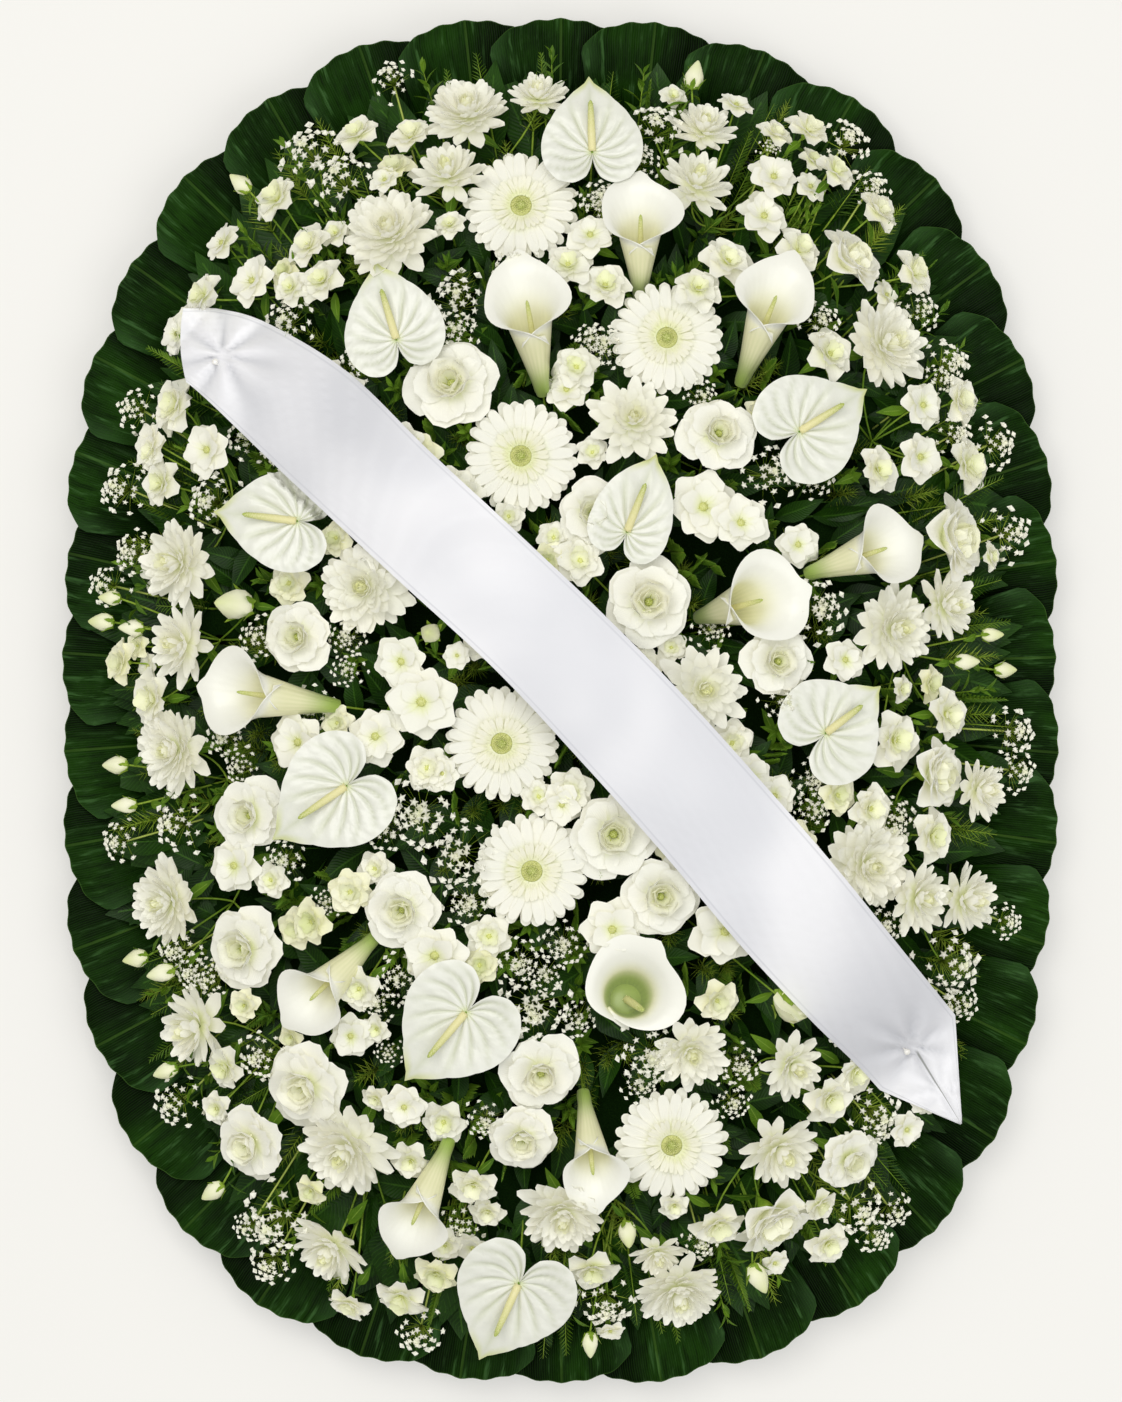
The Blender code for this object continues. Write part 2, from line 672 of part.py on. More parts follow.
def anthurium_shape(x, y, heading, length, width, lift, path):
    """An anthurium: its stem, the heart-shaped spathe that it carries, and the spadix that stands on it."""
    axis, tip = spathe_axes(x, y, heading)
    across = axis.cross(tip)
    heart = spathe_heart(x, y, lift)
    half = width / 2
    # The outline as (turn from the tip in degrees, distance from the stem)
    outline = [(0, length), (28, length * 0.82), (62, half * 1.12), (105, half), (148, half * 0.92)]
    turns = outline + [(180, 10)] + [(-turn, far) for turn, far in outline[:0:-1]]

    def sheet(part, rise, side):
        points = []
        for turn, far in turns:
            angle = math.radians(turn)
            flat = (tip * math.cos(angle) + across * math.sin(angle)) * far * part * BLOOM_SHRINK
            droop = 6.0 * part if turn == 0 else 0
            points.append(heart + flat + axis * (rise - droop + side * SPATHE_THICK / 2))
        return points

    shape = Shape()
    stem = KINDS["anthurium"]["stem"]
    rings = tube_rings(path, [stem] * len(path), STEM_SIDES, (tip, None))
    low = shape.ring([rings[-1][0]] + rings[-1][:0:-1])
    shape.close(low, False)
    upper = [[r[0]] + r[:0:-1] for r in rings[-2::-1]]
    upper += [sheet(0.5, 3, -1), sheet(1.0, 8, -1), sheet(1.0, 8, 1), sheet(0.5, 3, 1)]
    way = (tip * 0.94 + axis * 0.34).normalized() * length
    upper.append(circle(heart + axis * 2, (tip, across), 4.2, 4))
    upper.append(circle(heart + axis * 7 + way * 0.1, ((tip - axis).normalized(), across), 5.0, 4))
    upper.append(circle(heart + way * 0.42, ((tip * 0.34 - axis * 0.94).normalized(), across), 4.4, 4))
    for points in upper:
        ring = shape.ring(points)
        shape.stitch(low, ring)
        low = ring
    shape.cap(low, heart + way * 0.64, True)
    return shape


def calla_profile(mouth):
    """Rings of a calla as (share of its length, radius, whether it is the lip), from the stem upwards."""
    return ((0.0, 7.0, False), (0.3, mouth * 0.14, False), (0.62, mouth * 0.25, False), (1.0, mouth / 2, True))


def calla_axes(heading, steep):
    """The way that a calla points, its lower side, and its flank."""
    a, e = math.radians(heading), math.radians(steep)
    along = Vector((math.cos(a) * math.cos(e), math.sin(a) * math.cos(e), math.sin(e)))
    flank = Vector((-math.sin(a), math.cos(a), 0))
    under = along.cross(flank) * -1
    if under.z > 0:
        under = -under
    return along, under, along.cross(under)


def calla_shape(x, y, heading, steep, length, mouth, lift, path):
    """A calla: a rolled funnel whose lip runs out to a point on its lower side, with its spadix inside."""
    length, mouth = length * BLOOM_SHRINK, mouth * BLOOM_SHRINK
    along, under, flank = calla_axes(heading, steep)
    foot = calla_foot(x, y, steep, length) + UP * lift
    count = 8
    wall = 1.2

    def ring_points(share, radius, flare, inset):
        points = []
        for k in range(count):
            turn = 2 * math.pi * k / count
            lean = 0.5 + 0.5 * math.cos(turn)
            reach = share * length
            wide = radius - inset
            if flare:
                reach = length * (0.66 + 0.34 * lean**1.3) + inset * 0.5
                wide = radius * (0.72 + 0.28 * abs(math.sin(turn))) - inset * 0.3
            points.append(foot + along * reach + (under * math.cos(turn) + flank * math.sin(turn)) * wide)
        return points

    shape = Shape()
    low = None
    if path:
        rings = tube_rings(path, [KINDS["calla"]["stem"]] * len(path), STEM_SIDES, (under, None))
        drawn = [shape.ring([r[0]] + r[:0:-1]) for r in rings[::-1]]
        shape.close(drawn[0], False)
        for before, after in zip(drawn, drawn[1:]):
            shape.stitch(before, after)
        low = drawn[-1]
    profile = calla_profile(mouth)
    for k, (share, radius, flare) in enumerate(profile):
        ring = shape.ring(ring_points(share, radius, flare, 0))
        if low is None:
            shape.close(ring, False)
        else:
            shape.stitch(low, ring)
        low = ring
    for share, radius, flare in profile[:0:-1]:
        ring = shape.ring(ring_points(share if flare else share + 0.02, radius, flare, wall))
        shape.stitch(low, ring)
        low = ring
    spadix = shape.ring([foot + along * length * 0.4 + (under * math.cos(t) + flank * math.sin(t)) * 3.4
                         for t in (0, math.pi / 2, math.pi, 1.5 * math.pi)])
    shape.stitch(low, spadix)
    shape.cap(spadix, foot + along * length * 0.74, True)
    return shape


def calla_foot(x, y, steep, length):
    """The throat's foot: low enough for the mouth to lie in the dome."""
    sink = length * math.sin(math.radians(steep)) * 0.75
    return Vector((x, y, dome_height(x, y) + 4 - sink))


def foam_foot(x, y):
    """Where a stem under this place enters the foam: well inside its shoulder."""
    share = oval_share(x, y, FOAM_HALF)
    inside = min(1.0, FOOT_INSET / share) if share > 0 else 1.0
    return Vector((x * inside, y * inside, FOAM_TOP))


def compass(count, start=0.0):
    """Level directions evenly round the circle."""
    for k in range(count):
        turn = start + 2 * math.pi * k / count
        yield Vector((math.cos(turn), math.sin(turn), 0))


def stem_paths(neck, back):
    """Ways for a stem to run from the neck down into the foam, straightest first."""
    ground = foam_foot(neck.x + back.x, neck.y + back.y)
    yield [neck, ground + UP * 16, ground - UP * STEM_DEPTH]
    for bend in (0, 9, 18, 27, 36, 48):
        for way in compass(8 if bend else 1):
            ground = foam_foot(neck.x + back.x + way.x * bend, neck.y + back.y + way.y * bend)
            yield [neck, neck + back, ground + UP * 16, ground - UP * STEM_DEPTH]


def branch_paths(neck, back, ground, height):
    """Ways for a branch to run from the neck to its spray's main stem, straightest first."""
    inwards = Vector((neck.x - ground.x, neck.y - ground.y, 0))
    joint = ground + UP * height + inwards.normalized() * MAIN_STEM_RADIUS * 0.45
    yield [neck, joint]
    yield [neck, neck + back, joint]
    middle = (neck + back).lerp(joint, 0.5)
    for bend in (8, 16, 26, 36):
        for way in compass(8):
            yield [neck, middle + way * bend, joint]


def first_clear(label, paths, radius, crowd, but):
    """The first path whose tube crosses nothing but what it may meet."""
    kept = None
    for path in paths:
        kept = kept or path
        if crowd.crossed(stem_shape(path[::-1], [radius + 0.7] * len(path)), but) is None:
            return path
    print("stem crosses:", label, [round(v) for v in kept[0]])
    return kept


def sleeve(ring):
    """The plain hole in the foam for a stem with this outline at its foot."""
    foot = sum(ring, Vector()) / len(ring)
    grown = [p + (p - foot).normalized() * 3 * GAP for p in ring]
    shape = Shape()
    low = shape.ring([Vector((p.x, p.y, FOAM_TOP - STEM_DEPTH - GAP)) for p in grown])
    high = shape.ring([Vector((p.x, p.y, FOAM_TOP + 10)) for p in grown])
    shape.close(low, False)
    shape.stitch(low, high)
    shape.close(high, True)
    return shape


def blade_shape(root, tip, rows, half, arch):
    """A thin arched leaf from its root to its tip. Its rows are (share of the length, share of the width)."""
    along = tip - root
    across = along.cross(UP).normalized()
    face = across.cross(along).normalized()
    shape = Shape()
    sheets = []
    for side in (0.5, -0.5):
        sheet = []
        for share, wide in rows:
            middle = root + along * share + face * (arch * math.sin(math.pi * share) + side * BLADE_THICK)
            sheet.append(shape.ring([middle - across * half * wide, middle + across * half * wide]))
        sheet.append(shape.ring([tip + face * side * BLADE_THICK]))
        sheets.append(sheet)
    top, bottom = sheets
    for sheet, flip in ((top, False), (bottom, True)):
        for (a, b), (c, d) in zip(sheet, sheet[1:-1]):
            for triangle in ((a, b, c), (b, d, c)):
                shape.faces.append(triangle if not flip else triangle[::-1])
        a, b = sheet[-2]
        triangle = (a, b, sheet[-1][0])
        shape.faces.append(triangle if not flip else triangle[::-1])
    rim = [pair[1] for pair in top[:-1]] + top[-1] + [pair[0] for pair in top[-2::-1]]
    under = bottom[0][0] - top[0][0]
    for here, after in zip(rim, rim[1:] + rim[:1]):
        shape.faces += [(after, here, here + under), (after, here + under, after + under)]
    return shape


def leaf_tips(place):
    """Places for the tip of a dark leaf between the rim and the blooms, the best first."""
    out = outwards(*place)
    base = math.atan2(out.y, out.x)
    root = foam_foot(*place)
    for turn in (0, 20, -20, 40, -40, 60, -60, 80, -80):
        angle = base + math.radians(turn)
        for height in LEAF_TIP_HEIGHTS:
            for reach in (INNER_LEAF_LENGTH, INNER_LEAF_LENGTH * 0.8):
                yield Vector((root.x + math.cos(angle) * reach, root.y + math.sin(angle) * reach, height))


def frond_tips(place, start):
    """Places for the tip of a fern frond that comes up between the blooms, the best first."""
    for height in (6, -8, -24, -40):
        for reach in (95, 75, 58):
            for way in compass(12, start):
                x, y = place[0] + way.x * reach, place[1] + way.y * reach
                yield Vector((x, y, dome_height(x, y) + height))


def add_blades(number, name, place, crowd, shapes):
    """Gives a spray its leaves and its frond, each where it is clear of every bloom and stem."""
    ground = foam_foot(*place)
    outer = oval_share(*place, BLOOM_HALF) > 0.6
    wanted = []
    if outer:
        wanted.append((leaf_tips(place), LEAF_ROWS, INNER_LEAF_HALF, 5, 2.5))
    if number % 2 == 0:
        wanted.append((frond_tips(place, number * 0.7), FROND_ROWS, FROND_HALF, 5, MAIN_STEM_RISE - 3))
    own = (f"{name}:main",) + tuple(f"{name}:branch:{k}" for k in range(len(shapes)))
    for tips, rows, half, arch, height in wanted:
        root = ground + UP * height
        for tip in tips:
            blade = blade_shape(root, tip, rows, half, arch)
            if crowd.crossed(blade.swelled(0.8), own) is None:
                crowd.add(f"{name}:blade", blade)
                shapes.append(blade)
                break
        else:
            print("no room for a blade:", name)


def ribbon_line(share):
    """A point of the ribbon's middle on the plan, from 0 at the upper end to 1 at the lower one."""
    start, middle, end = (Vector(p) for p in (RIBBON_START, RIBBON_MIDDLE, RIBBON_END))
    control = middle * 2 - (start + end) / 2
    return start * (1 - share) ** 2 + control * 2 * share * (1 - share) + end * share**2


def ribbon_height(share):
    """The ribbon's height: over the blooms in the middle, and down on the rim leaves at its ends."""
    point = ribbon_line(share)
    over = dome_height(point.x, point.y) + RIBBON_CLEAR
    rise = math.sin(math.pi * min(1.0, max(0.0, share))) ** 0.55
    return RIBBON_END_HEIGHT * (1 - rise) + over * rise


def ribbon_half_width(share):
    """Half the ribbon's width: folded narrower at its upper end and to a point at its lower one."""
    if share < 0.08:
        return RIBBON_WIDTH / 2 * (0.58 + 0.42 * share / 0.08)
    if share > 0.925:
        return max(1.2, RIBBON_WIDTH / 2 * (1 - share) / 0.075)
    return RIBBON_WIDTH / 2


def ribbon_shape():
    shares = [0.0, 0.04, 0.08]
    shares += [0.08 + 0.845 * k / (RIBBON_STATIONS - 4) for k in range(1, RIBBON_STATIONS - 3)]
    shares += [0.96, 1.0]
    shape = Shape()
    rings = []
    for share in shares:
        ahead, behind = ribbon_line(share + 0.01), ribbon_line(share - 0.01)
        way = (ahead - behind).normalized()
        across = Vector((-way.y, way.x, 0))
        half = ribbon_half_width(share)
        middle = ribbon_line(share)
        height = ribbon_height(share)
        ring = []
        for side, layer in ((1, 1), (0, 1), (-1, 1), (-1, 0), (0, 0), (1, 0)):
            droop = 5.0 * side * side * half / RIBBON_WIDTH * 2
            place = Vector((middle.x, middle.y, height - droop + layer * RIBBON_THICK))
            ring.append(place + across * side * half)
        rings.append(shape.ring(ring))
    first, last = rings[0], rings[-1]
    for ring, flip in ((first, True), (last, False)):
        a, b, c, d, e, f = ring
        for face in ((a, b, f), (b, e, f), (b, c, e), (c, d, e)):
            shape.faces.append(face if not flip else face[::-1])
    for low, high in zip(rings, rings[1:]):
        shape.stitch(low, high)
    return shape


def pin_shapes(place):
    """A florist's pin: through the ribbon and leaning inwards into the foam. Returns it and its clearance."""
    share = min((k / 200 for k in range(201)), key=lambda s: (ribbon_line(s) - Vector(place)).length)
    top = Vector((*ribbon_line(share), ribbon_height(share) + RIBBON_THICK + GAP + PIN_LEAN_ROOM))
    inside = foam_foot(top.x, top.y)
    point = Vector((inside.x, inside.y, FOAM_TOP - STEM_DEPTH))
    way = (top - point).normalized()
    radii = [0.3, PIN_RADIUS, PIN_RADIUS, PIN_HEAD, PIN_HEAD, 1.0]
    path = [point, point + way * 3, top, top + way * 0.8, top + way * 3.4, top + way * 4.6]
    pin = stem_shape(path, radii, 6)
    room = stem_shape([point - way * 2 * GAP, top], [PIN_RADIUS + 1.5 * GAP] * 2, 6)
    return pin, room


def cut(thing, cutters, material):
    """Takes closed shapes away from an object."""
    tools = bpy.data.collections.new(thing.name + "_cutters")
    for k, shape in enumerate(cutters):
        tool = to_object(f"{thing.name}_cutter_{k}", shape, material)
        bpy.context.scene.collection.objects.unlink(tool)
        tools.objects.link(tool)
    minus = thing.modifiers.new("holes", "BOOLEAN")
    minus.operation = "DIFFERENCE"
    minus.solver = "MANIFOLD"
    minus.operand_type = "COLLECTION"
    minus.collection = tools
    keep_result(thing, minus)
    for tool in list(tools.objects):
        bpy.data.objects.remove(tool)
    bpy.data.collections.remove(tools)


class Wreath:
    """Sets every bloom at a clear height, then grows the stems under them, and keeps the foam's holes."""

    def __init__(self):
        self.crowd = Crowd()
        self.holes = []
        self.sprays = {}
        self.gerberas = {}
        self.anthuriums = {}
        self.callas = {}

    def lift(self, label, base):
        """The first height at which a shape crosses nothing in place."""
        for lift in LIFTS:
            if self.crowd.crossed(base.moved(UP * lift).swelled(0.6)) is None:
                break
        else:
            lift = 0
            print("no clear height:", label)
        self.crowd.add(label, base.moved(UP * lift))
        return lift

    def settle_blooms(self):
        """The large blooms first, then the sprays' blooms from the largest kind to the smallest."""
        for k, place in enumerate(GERBERAS):
            bloom = Bloom("gerbera", *place, GERBERA_RADIUS, k)
            self.gerberas[f"gerbera_{k + 1}"] = bloom
            bloom.lift = self.lift(f"gerbera_{k + 1}:head", bloom.head())
        for k, row in enumerate(ANTHURIUMS):
            name = f"anthurium_{k + 1}"
            axis, _ = spathe_axes(*row[:3])
            neck = spathe_heart(*row[:2], 0) - axis * 4
            head = anthurium_shape(*row, 0, [neck, neck - axis * 4])
            self.anthuriums[name] = (row, self.lift(f"{name}:head", head))
        for k, row in enumerate(CALLAS):
            name = f"calla_{k + 1}"
            self.callas[name] = (row, self.lift(f"{name}:head", calla_shape(*row, 0, None)))
        order = len(GERBERAS)
        for name, (_, table) in SPRAYS.items():
            self.sprays[name] = []
            for kind_name, x, y, radius in table:
                self.sprays[name].append(Bloom(kind_name, x, y, radius, order))
                order += 1
        for rank in SETTLING_ORDER:
            for name, blooms in self.sprays.items():
                for k, bloom in enumerate(blooms):
                    if bloom.kind_name == rank:
                        bloom.lift = self.lift(f"{name}:{k}", bloom.head())

    def stem(self, name, paths, radius):
        """A single bloom's stem, clear of everything but its own head."""
        path = first_clear(name, paths, radius, self.crowd, (f"{name}:head", "foam"))
        self.crowd.add(f"{name}:stem", stem_shape(path[::-1], [radius] * len(path)))
        return path

    def grow_main_stems(self):
        for name, (place, _) in SPRAYS.items():
            ground = foam_foot(*place)
            path = [ground - UP * STEM_DEPTH, ground + UP * MAIN_STEM_RISE]
            radii = [MAIN_STEM_RADIUS, MAIN_STEM_RADIUS * 0.8]
            frame = side_frame(UP)
            self.crowd.add(f"{name}:main", stem_shape(path, radii, MAIN_STEM_SIDES))
            self.holes.append(sleeve(circle(path[0], frame, MAIN_STEM_RADIUS, MAIN_STEM_SIDES)))

    def grow_gerberas(self, material):
        for name, bloom in self.gerberas.items():
            radius = bloom.kind["stem"]
            path = self.stem(name, stem_paths(bloom.neck(), bloom.axis * -14), radius)
            frame = side_frame(bloom.axis, bloom.spin)
            foot = tube_rings(path, [radius] * len(path), STEM_SIDES, frame)[-1]
            self.holes.append(sleeve(foot[::-1]))
            to_object(name, bloom.whole(path), material)

    def grow_anthuriums(self, material):
        for name, (row, lift) in self.anthuriums.items():
            x, y, heading, _, _ = row
            axis, tip = spathe_axes(x, y, heading)
            radius = KINDS["anthurium"]["stem"]
            path = self.stem(name, stem_paths(spathe_heart(x, y, lift) - axis * 4, axis * -12), radius)
            foot = tube_rings(path, [radius] * len(path), STEM_SIDES, (tip, None))[-1]
            self.holes.append(sleeve(foot[::-1]))
            to_object(name, anthurium_shape(*row, lift, path), material)

    def grow_callas(self, material):
        for name, (row, lift) in self.callas.items():
            x, y, heading, steep, length, mouth = row
            along, under, _ = calla_axes(heading, steep)
            foot = calla_foot(x, y, steep, length * BLOOM_SHRINK) + UP * lift
            radius = KINDS["calla"]["stem"]
            path = self.stem(name, stem_paths(foot - along * 3, along * -16 - UP * 3), radius)
            end = tube_rings(path, [radius] * len(path), STEM_SIDES, (under, None))[-1]
            self.holes.append(sleeve(end[::-1]))
            to_object(name, calla_shape(*row, lift, path), material)

    def grow_sprays(self, material):
        for name, (place, _) in SPRAYS.items():
            ground = foam_foot(*place)
            blooms = self.sprays[name]
            path = [ground - UP * STEM_DEPTH, ground + UP * MAIN_STEM_RISE]
            radii = [MAIN_STEM_RADIUS, MAIN_STEM_RADIUS * 0.8]
            shapes = [stem_shape(path, radii, MAIN_STEM_SIDES)]
            far_first = sorted(range(len(blooms)), key=lambda k: -(blooms[k].heart - ground).xy.length)
            for k, bloom in enumerate(blooms):
                share = far_first.index(k) / max(1, len(blooms) - 1)
                height = BRANCH_LOWEST + (MAIN_STEM_RISE - 2 - BRANCH_LOWEST) * share
                paths = branch_paths(bloom.neck(), bloom.axis * -8, ground, height)
                mine = (f"{name}:{k}", f"{name}:main", "foam")
                mine += tuple(f"{name}:branch:{j}" for j in range(k))
                radius = bloom.kind["stem"]
                path = first_clear(f"{name}:{k} {bloom.kind_name}", paths, radius, self.crowd, mine)
                self.crowd.add(f"{name}:branch:{k}", stem_shape(path[::-1], [radius] * len(path)))
                shapes.append(bloom.whole(path))
            self.sprays[name] = shapes
        for number, (name, (place, _)) in enumerate(SPRAYS.items()):
            add_blades(number, name, place, self.crowd, self.sprays[name])
            fused(name, self.sprays[name], material)


def main():
    for thing in list(bpy.data.objects):
        bpy.data.objects.remove(thing)
    white = make_material("white_petals", (0.9, 0.9, 0.84), 0.5)
    leaf = make_material("rim_leaf", (0.02, 0.09, 0.02), 0.4)
    foam_green = make_material("foam", (0.05, 0.2, 0.08), 0.95)
    tray_green = make_material("tray", (0.03, 0.08, 0.04), 0.5)
    satin = make_material("ribbon_satin", (0.86, 0.86, 0.9), 0.3)
    steel = make_material("pin_steel", (0.8, 0.8, 0.82), 0.25, 1.0)

    wreath = Wreath()
    foam_body = foam_shape()
    wreath.crowd.add("foam", foam_body)
    to_object("tray", tray_shape(), tray_green)
    rng = random.Random(SEED)
    for number in range(GARLANDS):
        shapes = garland_shapes(number, rng)
        for shape in shapes:
            wreath.crowd.add("garland", shape)
        fused(f"leaf_garland_{number + 1}", shapes, leaf)

    ribbon_body = ribbon_shape()
    wreath.crowd.add("ribbon", ribbon_body)
    ribbon = to_object("ribbon", ribbon_body, satin)
    rooms = []
    for name, place in PIN_PLACES.items():
        pin, room = pin_shapes(place)
        rooms.append(room)
        wreath.crowd.add(name, pin)
        to_object(name, pin, steel)
    cut(ribbon, rooms, satin)

    wreath.settle_blooms()
    wreath.grow_main_stems()
    wreath.grow_gerberas(white)
    wreath.grow_anthuriums(white)
    wreath.grow_callas(white)
    wreath.grow_sprays(white)

    foam = to_object("foam", foam_body, foam_green)
    cut(foam, wreath.holes + rooms, foam_green)


main()
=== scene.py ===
from math import atan2, copysign, cos, exp, floor, hypot, pi, radians, sin
import random

import bpy
import numpy as np
from mathutils import Matrix, Vector


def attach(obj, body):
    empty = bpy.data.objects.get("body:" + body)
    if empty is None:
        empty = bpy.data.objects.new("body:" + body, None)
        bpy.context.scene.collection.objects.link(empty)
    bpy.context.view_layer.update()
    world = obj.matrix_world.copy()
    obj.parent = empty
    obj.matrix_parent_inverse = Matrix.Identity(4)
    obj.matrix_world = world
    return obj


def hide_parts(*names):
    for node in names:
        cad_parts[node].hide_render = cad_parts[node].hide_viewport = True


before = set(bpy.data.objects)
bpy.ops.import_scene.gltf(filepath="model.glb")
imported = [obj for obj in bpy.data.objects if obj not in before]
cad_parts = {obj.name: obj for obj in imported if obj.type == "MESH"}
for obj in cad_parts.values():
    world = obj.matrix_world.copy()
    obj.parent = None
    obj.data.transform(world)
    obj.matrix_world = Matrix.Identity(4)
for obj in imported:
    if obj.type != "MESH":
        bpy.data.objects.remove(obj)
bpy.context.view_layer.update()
mm = 0.001
up = Vector((0, 0, 1))
print("frame loaded:", len(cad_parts), "nodes")


def linked(name, data):  # a new object in the scene
    thing = bpy.data.objects.new(name, data)
    bpy.context.scene.collection.objects.link(thing)
    return thing


# Node trees, written as expressions
class Tap:  # a socket that takes part in sums
    def __init__(self, tree, socket):
        self.tree = tree
        self.socket = socket

    def sum(self, operation, *values):
        return self.tree.node("ShaderNodeMath", {"operation": operation}, dict(enumerate(values)))

    def __add__(self, other):
        return self.sum("ADD", self, other)

    __radd__ = __add__

    def __sub__(self, other):
        return self.sum("SUBTRACT", self, other)

    def __rsub__(self, other):
        return self.sum("SUBTRACT", other, self)

    def __mul__(self, other):
        return self.sum("MULTIPLY", self, other)

    __rmul__ = __mul__

    def __truediv__(self, other):
        return self.sum("DIVIDE", self, other)

    def __pow__(self, other):
        return self.sum("POWER", self, other)

    def __neg__(self):
        return self.sum("MULTIPLY", self, -1.0)

    def __abs__(self):
        return self.sum("ABSOLUTE", self)

    def sine(self):
        return self.sum("SINE", self)

    def cosine(self):
        return self.sum("COSINE", self)

    def past(self, low, high):  # 0 below low, 1 above high, smooth between
        return self.tree.node("ShaderNodeMapRange", {"interpolation_type": "SMOOTHSTEP"},
                              {"Value": self, "From Min": low, "From Max": high})


class Bench:  # makes the nodes of one tree
    def __init__(self, tree):
        self.tree = tree

    def node(self, kind, settings=None, inputs=None, output=0):
        made = self.tree.nodes.new(kind)
        for key, value in (settings or {}).items():
            setattr(made, key, value)
        for key, value in (inputs or {}).items():
            if isinstance(value, Tap):
                self.tree.links.new(value.socket, made.inputs[key])
            else:
                made.inputs[key].default_value = value
        return Tap(self, made.outputs[output]) if made.outputs else None


def hexColour(text):  # "#rrggbb" as Blender's linear colour
    parts = [int(text[k:k + 2], 16) / 255 for k in (1, 3, 5)]
    return (*[c / 12.92 if c <= 0.04045 else ((c + 0.055) / 1.055) ** 2.4 for c in parts], 1.0)


class Finish(Bench):  # one material
    def __init__(self, name, **fixed):
        self.material = bpy.data.materials.new(name)
        self.material.use_nodes = True
        super().__init__(self.material.node_tree)
        self.shader = self.tree.nodes["Principled BSDF"]
        for socket, value in fixed.items():
            self.shader.inputs[socket.replace("_", " ")].default_value = value
        self.place = self.node("ShaderNodeTexCoord", output="Object")

    def petalMap(self):  # across 0..1 and along 0..1 of a petal or leaf
        both = self.node("ShaderNodeUVMap", {"uv_map": "petal"})
        split = self.node("ShaderNodeSeparateXYZ", None, {"Vector": both})
        return split, Tap(self, split.socket.node.outputs[1])

    def tone(self):  # 0 at a bloom's outer petals, 1 at its heart
        return self.node("ShaderNodeAttribute", {"attribute_name": "tone"}, output="Fac")

    def noise(self, scale, detail=3.0, rough=0.5, vector=None):
        return self.node("ShaderNodeTexNoise", None, {"Vector": vector or self.place, "Scale": scale,
                                                      "Detail": detail, "Roughness": rough})

    def blend(self, factor, first, second):  # each one a colour as text, or what another node gives
        first, second = (hexColour(c) if isinstance(c, str) else c for c in (first, second))
        return self.node("ShaderNodeMix", {"data_type": "RGBA"}, {0: factor, 6: first, 7: second}, 2)

    def set(self, socket, value):
        self.tree.links.new(value.socket, self.shader.inputs[socket])

    def bump(self, height, strength, distance):  # distance in metres
        self.set("Normal", self.node("ShaderNodeBump", None,
                                     {"Height": height, "Strength": strength, "Distance": distance}))


def petalFinish(name, white, heart, veins, roughness, heartFrom=0.62):
    f = Finish(name, Roughness=roughness, Specular_IOR_Level=0.2, Emission_Strength=0.1,
               Emission_Color=(1.0, 0.97, 0.74, 1.0))  # stands for the light that thin petals let through
    across, along = f.petalMap()
    # greener towards the petal's foot: partly the petal's own colour, partly painted yellow-green shade
    base = f.blend((1 - along).past(0.45, 0.95) * 0.75, white, "#d9e09c")
    deep = f.blend(f.tone().past(heartFrom, 1.0) * 0.8, base, heart)
    cloud = f.blend(f.noise(22.0).past(0.35, 0.7) * 0.5, deep, "#efede0")
    f.set("Base Color", cloud)
    ribs = ((across * veins).sine() * 0.5 + 0.5) * along.past(0.0, 0.25)
    f.bump(ribs * 0.6 + f.noise(900.0) * 0.4, 0.25, 0.0004)
    return f.material


def spatheFinish():
    f = Finish("waxySpathe", Roughness=0.32, Coat_Weight=0.15, Coat_Roughness=0.25)
    across, along = f.petalMap()
    tip = f.blend(along.past(0.86, 1.0) * (1 - abs(across - 0.5) * 2).past(0.86, 1.0),
                  "#e9eadf", "#d3da8c")
    throat = f.blend((1 - along).past(0.8, 1.0) * 0.8, tip, "#d6e0a8")
    # darker along the vein grooves: painted shade of the embossed veins
    grooveShaded = f.blend(f.tone() * 0.75, throat, "#bcc2a0")
    f.set("Base Color", f.blend(f.noise(30.0).past(0.4, 0.75) * 0.35, grooveShaded, "#dcdfcd"))
    f.bump(f.noise(75.0, 1.0) + f.noise(420.0, 4.0) * 0.2, 0.6, 0.0016)
    return f.material


def callaFinish():
    # a faint creamy glow: painted light, as on the petals
    f = Finish("callaFunnel", Roughness=0.34, Coat_Weight=0.15, Coat_Roughness=0.3, Emission_Strength=0.05,
               Emission_Color=(1.0, 0.97, 0.74, 1.0))
    across, along = f.petalMap()
    stem = f.blend(along.past(0.03, 0.36), "#86a62c", "#e6e4b8")
    throat = f.blend(f.tone() * (1 - along.past(0.4, 0.66)), stem, "#8ea448")
    white = f.blend(along.past(0.42, 0.8) * (1 - f.tone() * (1 - along.past(0.45, 0.8)) * 0.7), throat,
                    "#eeeee4")
    ribs = (across * 190.0).sine() * 0.5 + 0.5
    f.set("Base Color", f.blend(ribs * (1 - along).past(0.3, 0.8) * 0.2, white, "#a9b85a"))
    f.bump(ribs * 0.5 + f.noise(500.0) * 0.5, 0.3, 0.0005)
    return f.material


def spadixFinish():
    f = Finish("spadixGrain", Roughness=0.5)
    grain = f.noise(700.0, 4.0)
    body = f.blend(f.tone().past(0.15, 0.95), "#e9e2a6", "#a9bb50")
    f.set("Base Color", f.blend(grain.past(0.4, 0.7) * 0.5, body, "#efe9bc"))
    f.bump(grain, 0.5, 0.0006)
    return f.material


def heartFinish():
    f = Finish("greenHeart", Roughness=0.6)
    grain = f.noise(900.0, 3.0)
    ring = f.blend(f.tone().past(0.3, 0.75), "#cdd17c", "#98a83c")
    f.set("Base Color", f.blend(grain.past(0.35, 0.7), ring, "#e0e29c"))
    f.bump(grain, 0.5, 0.0005)
    return f.material


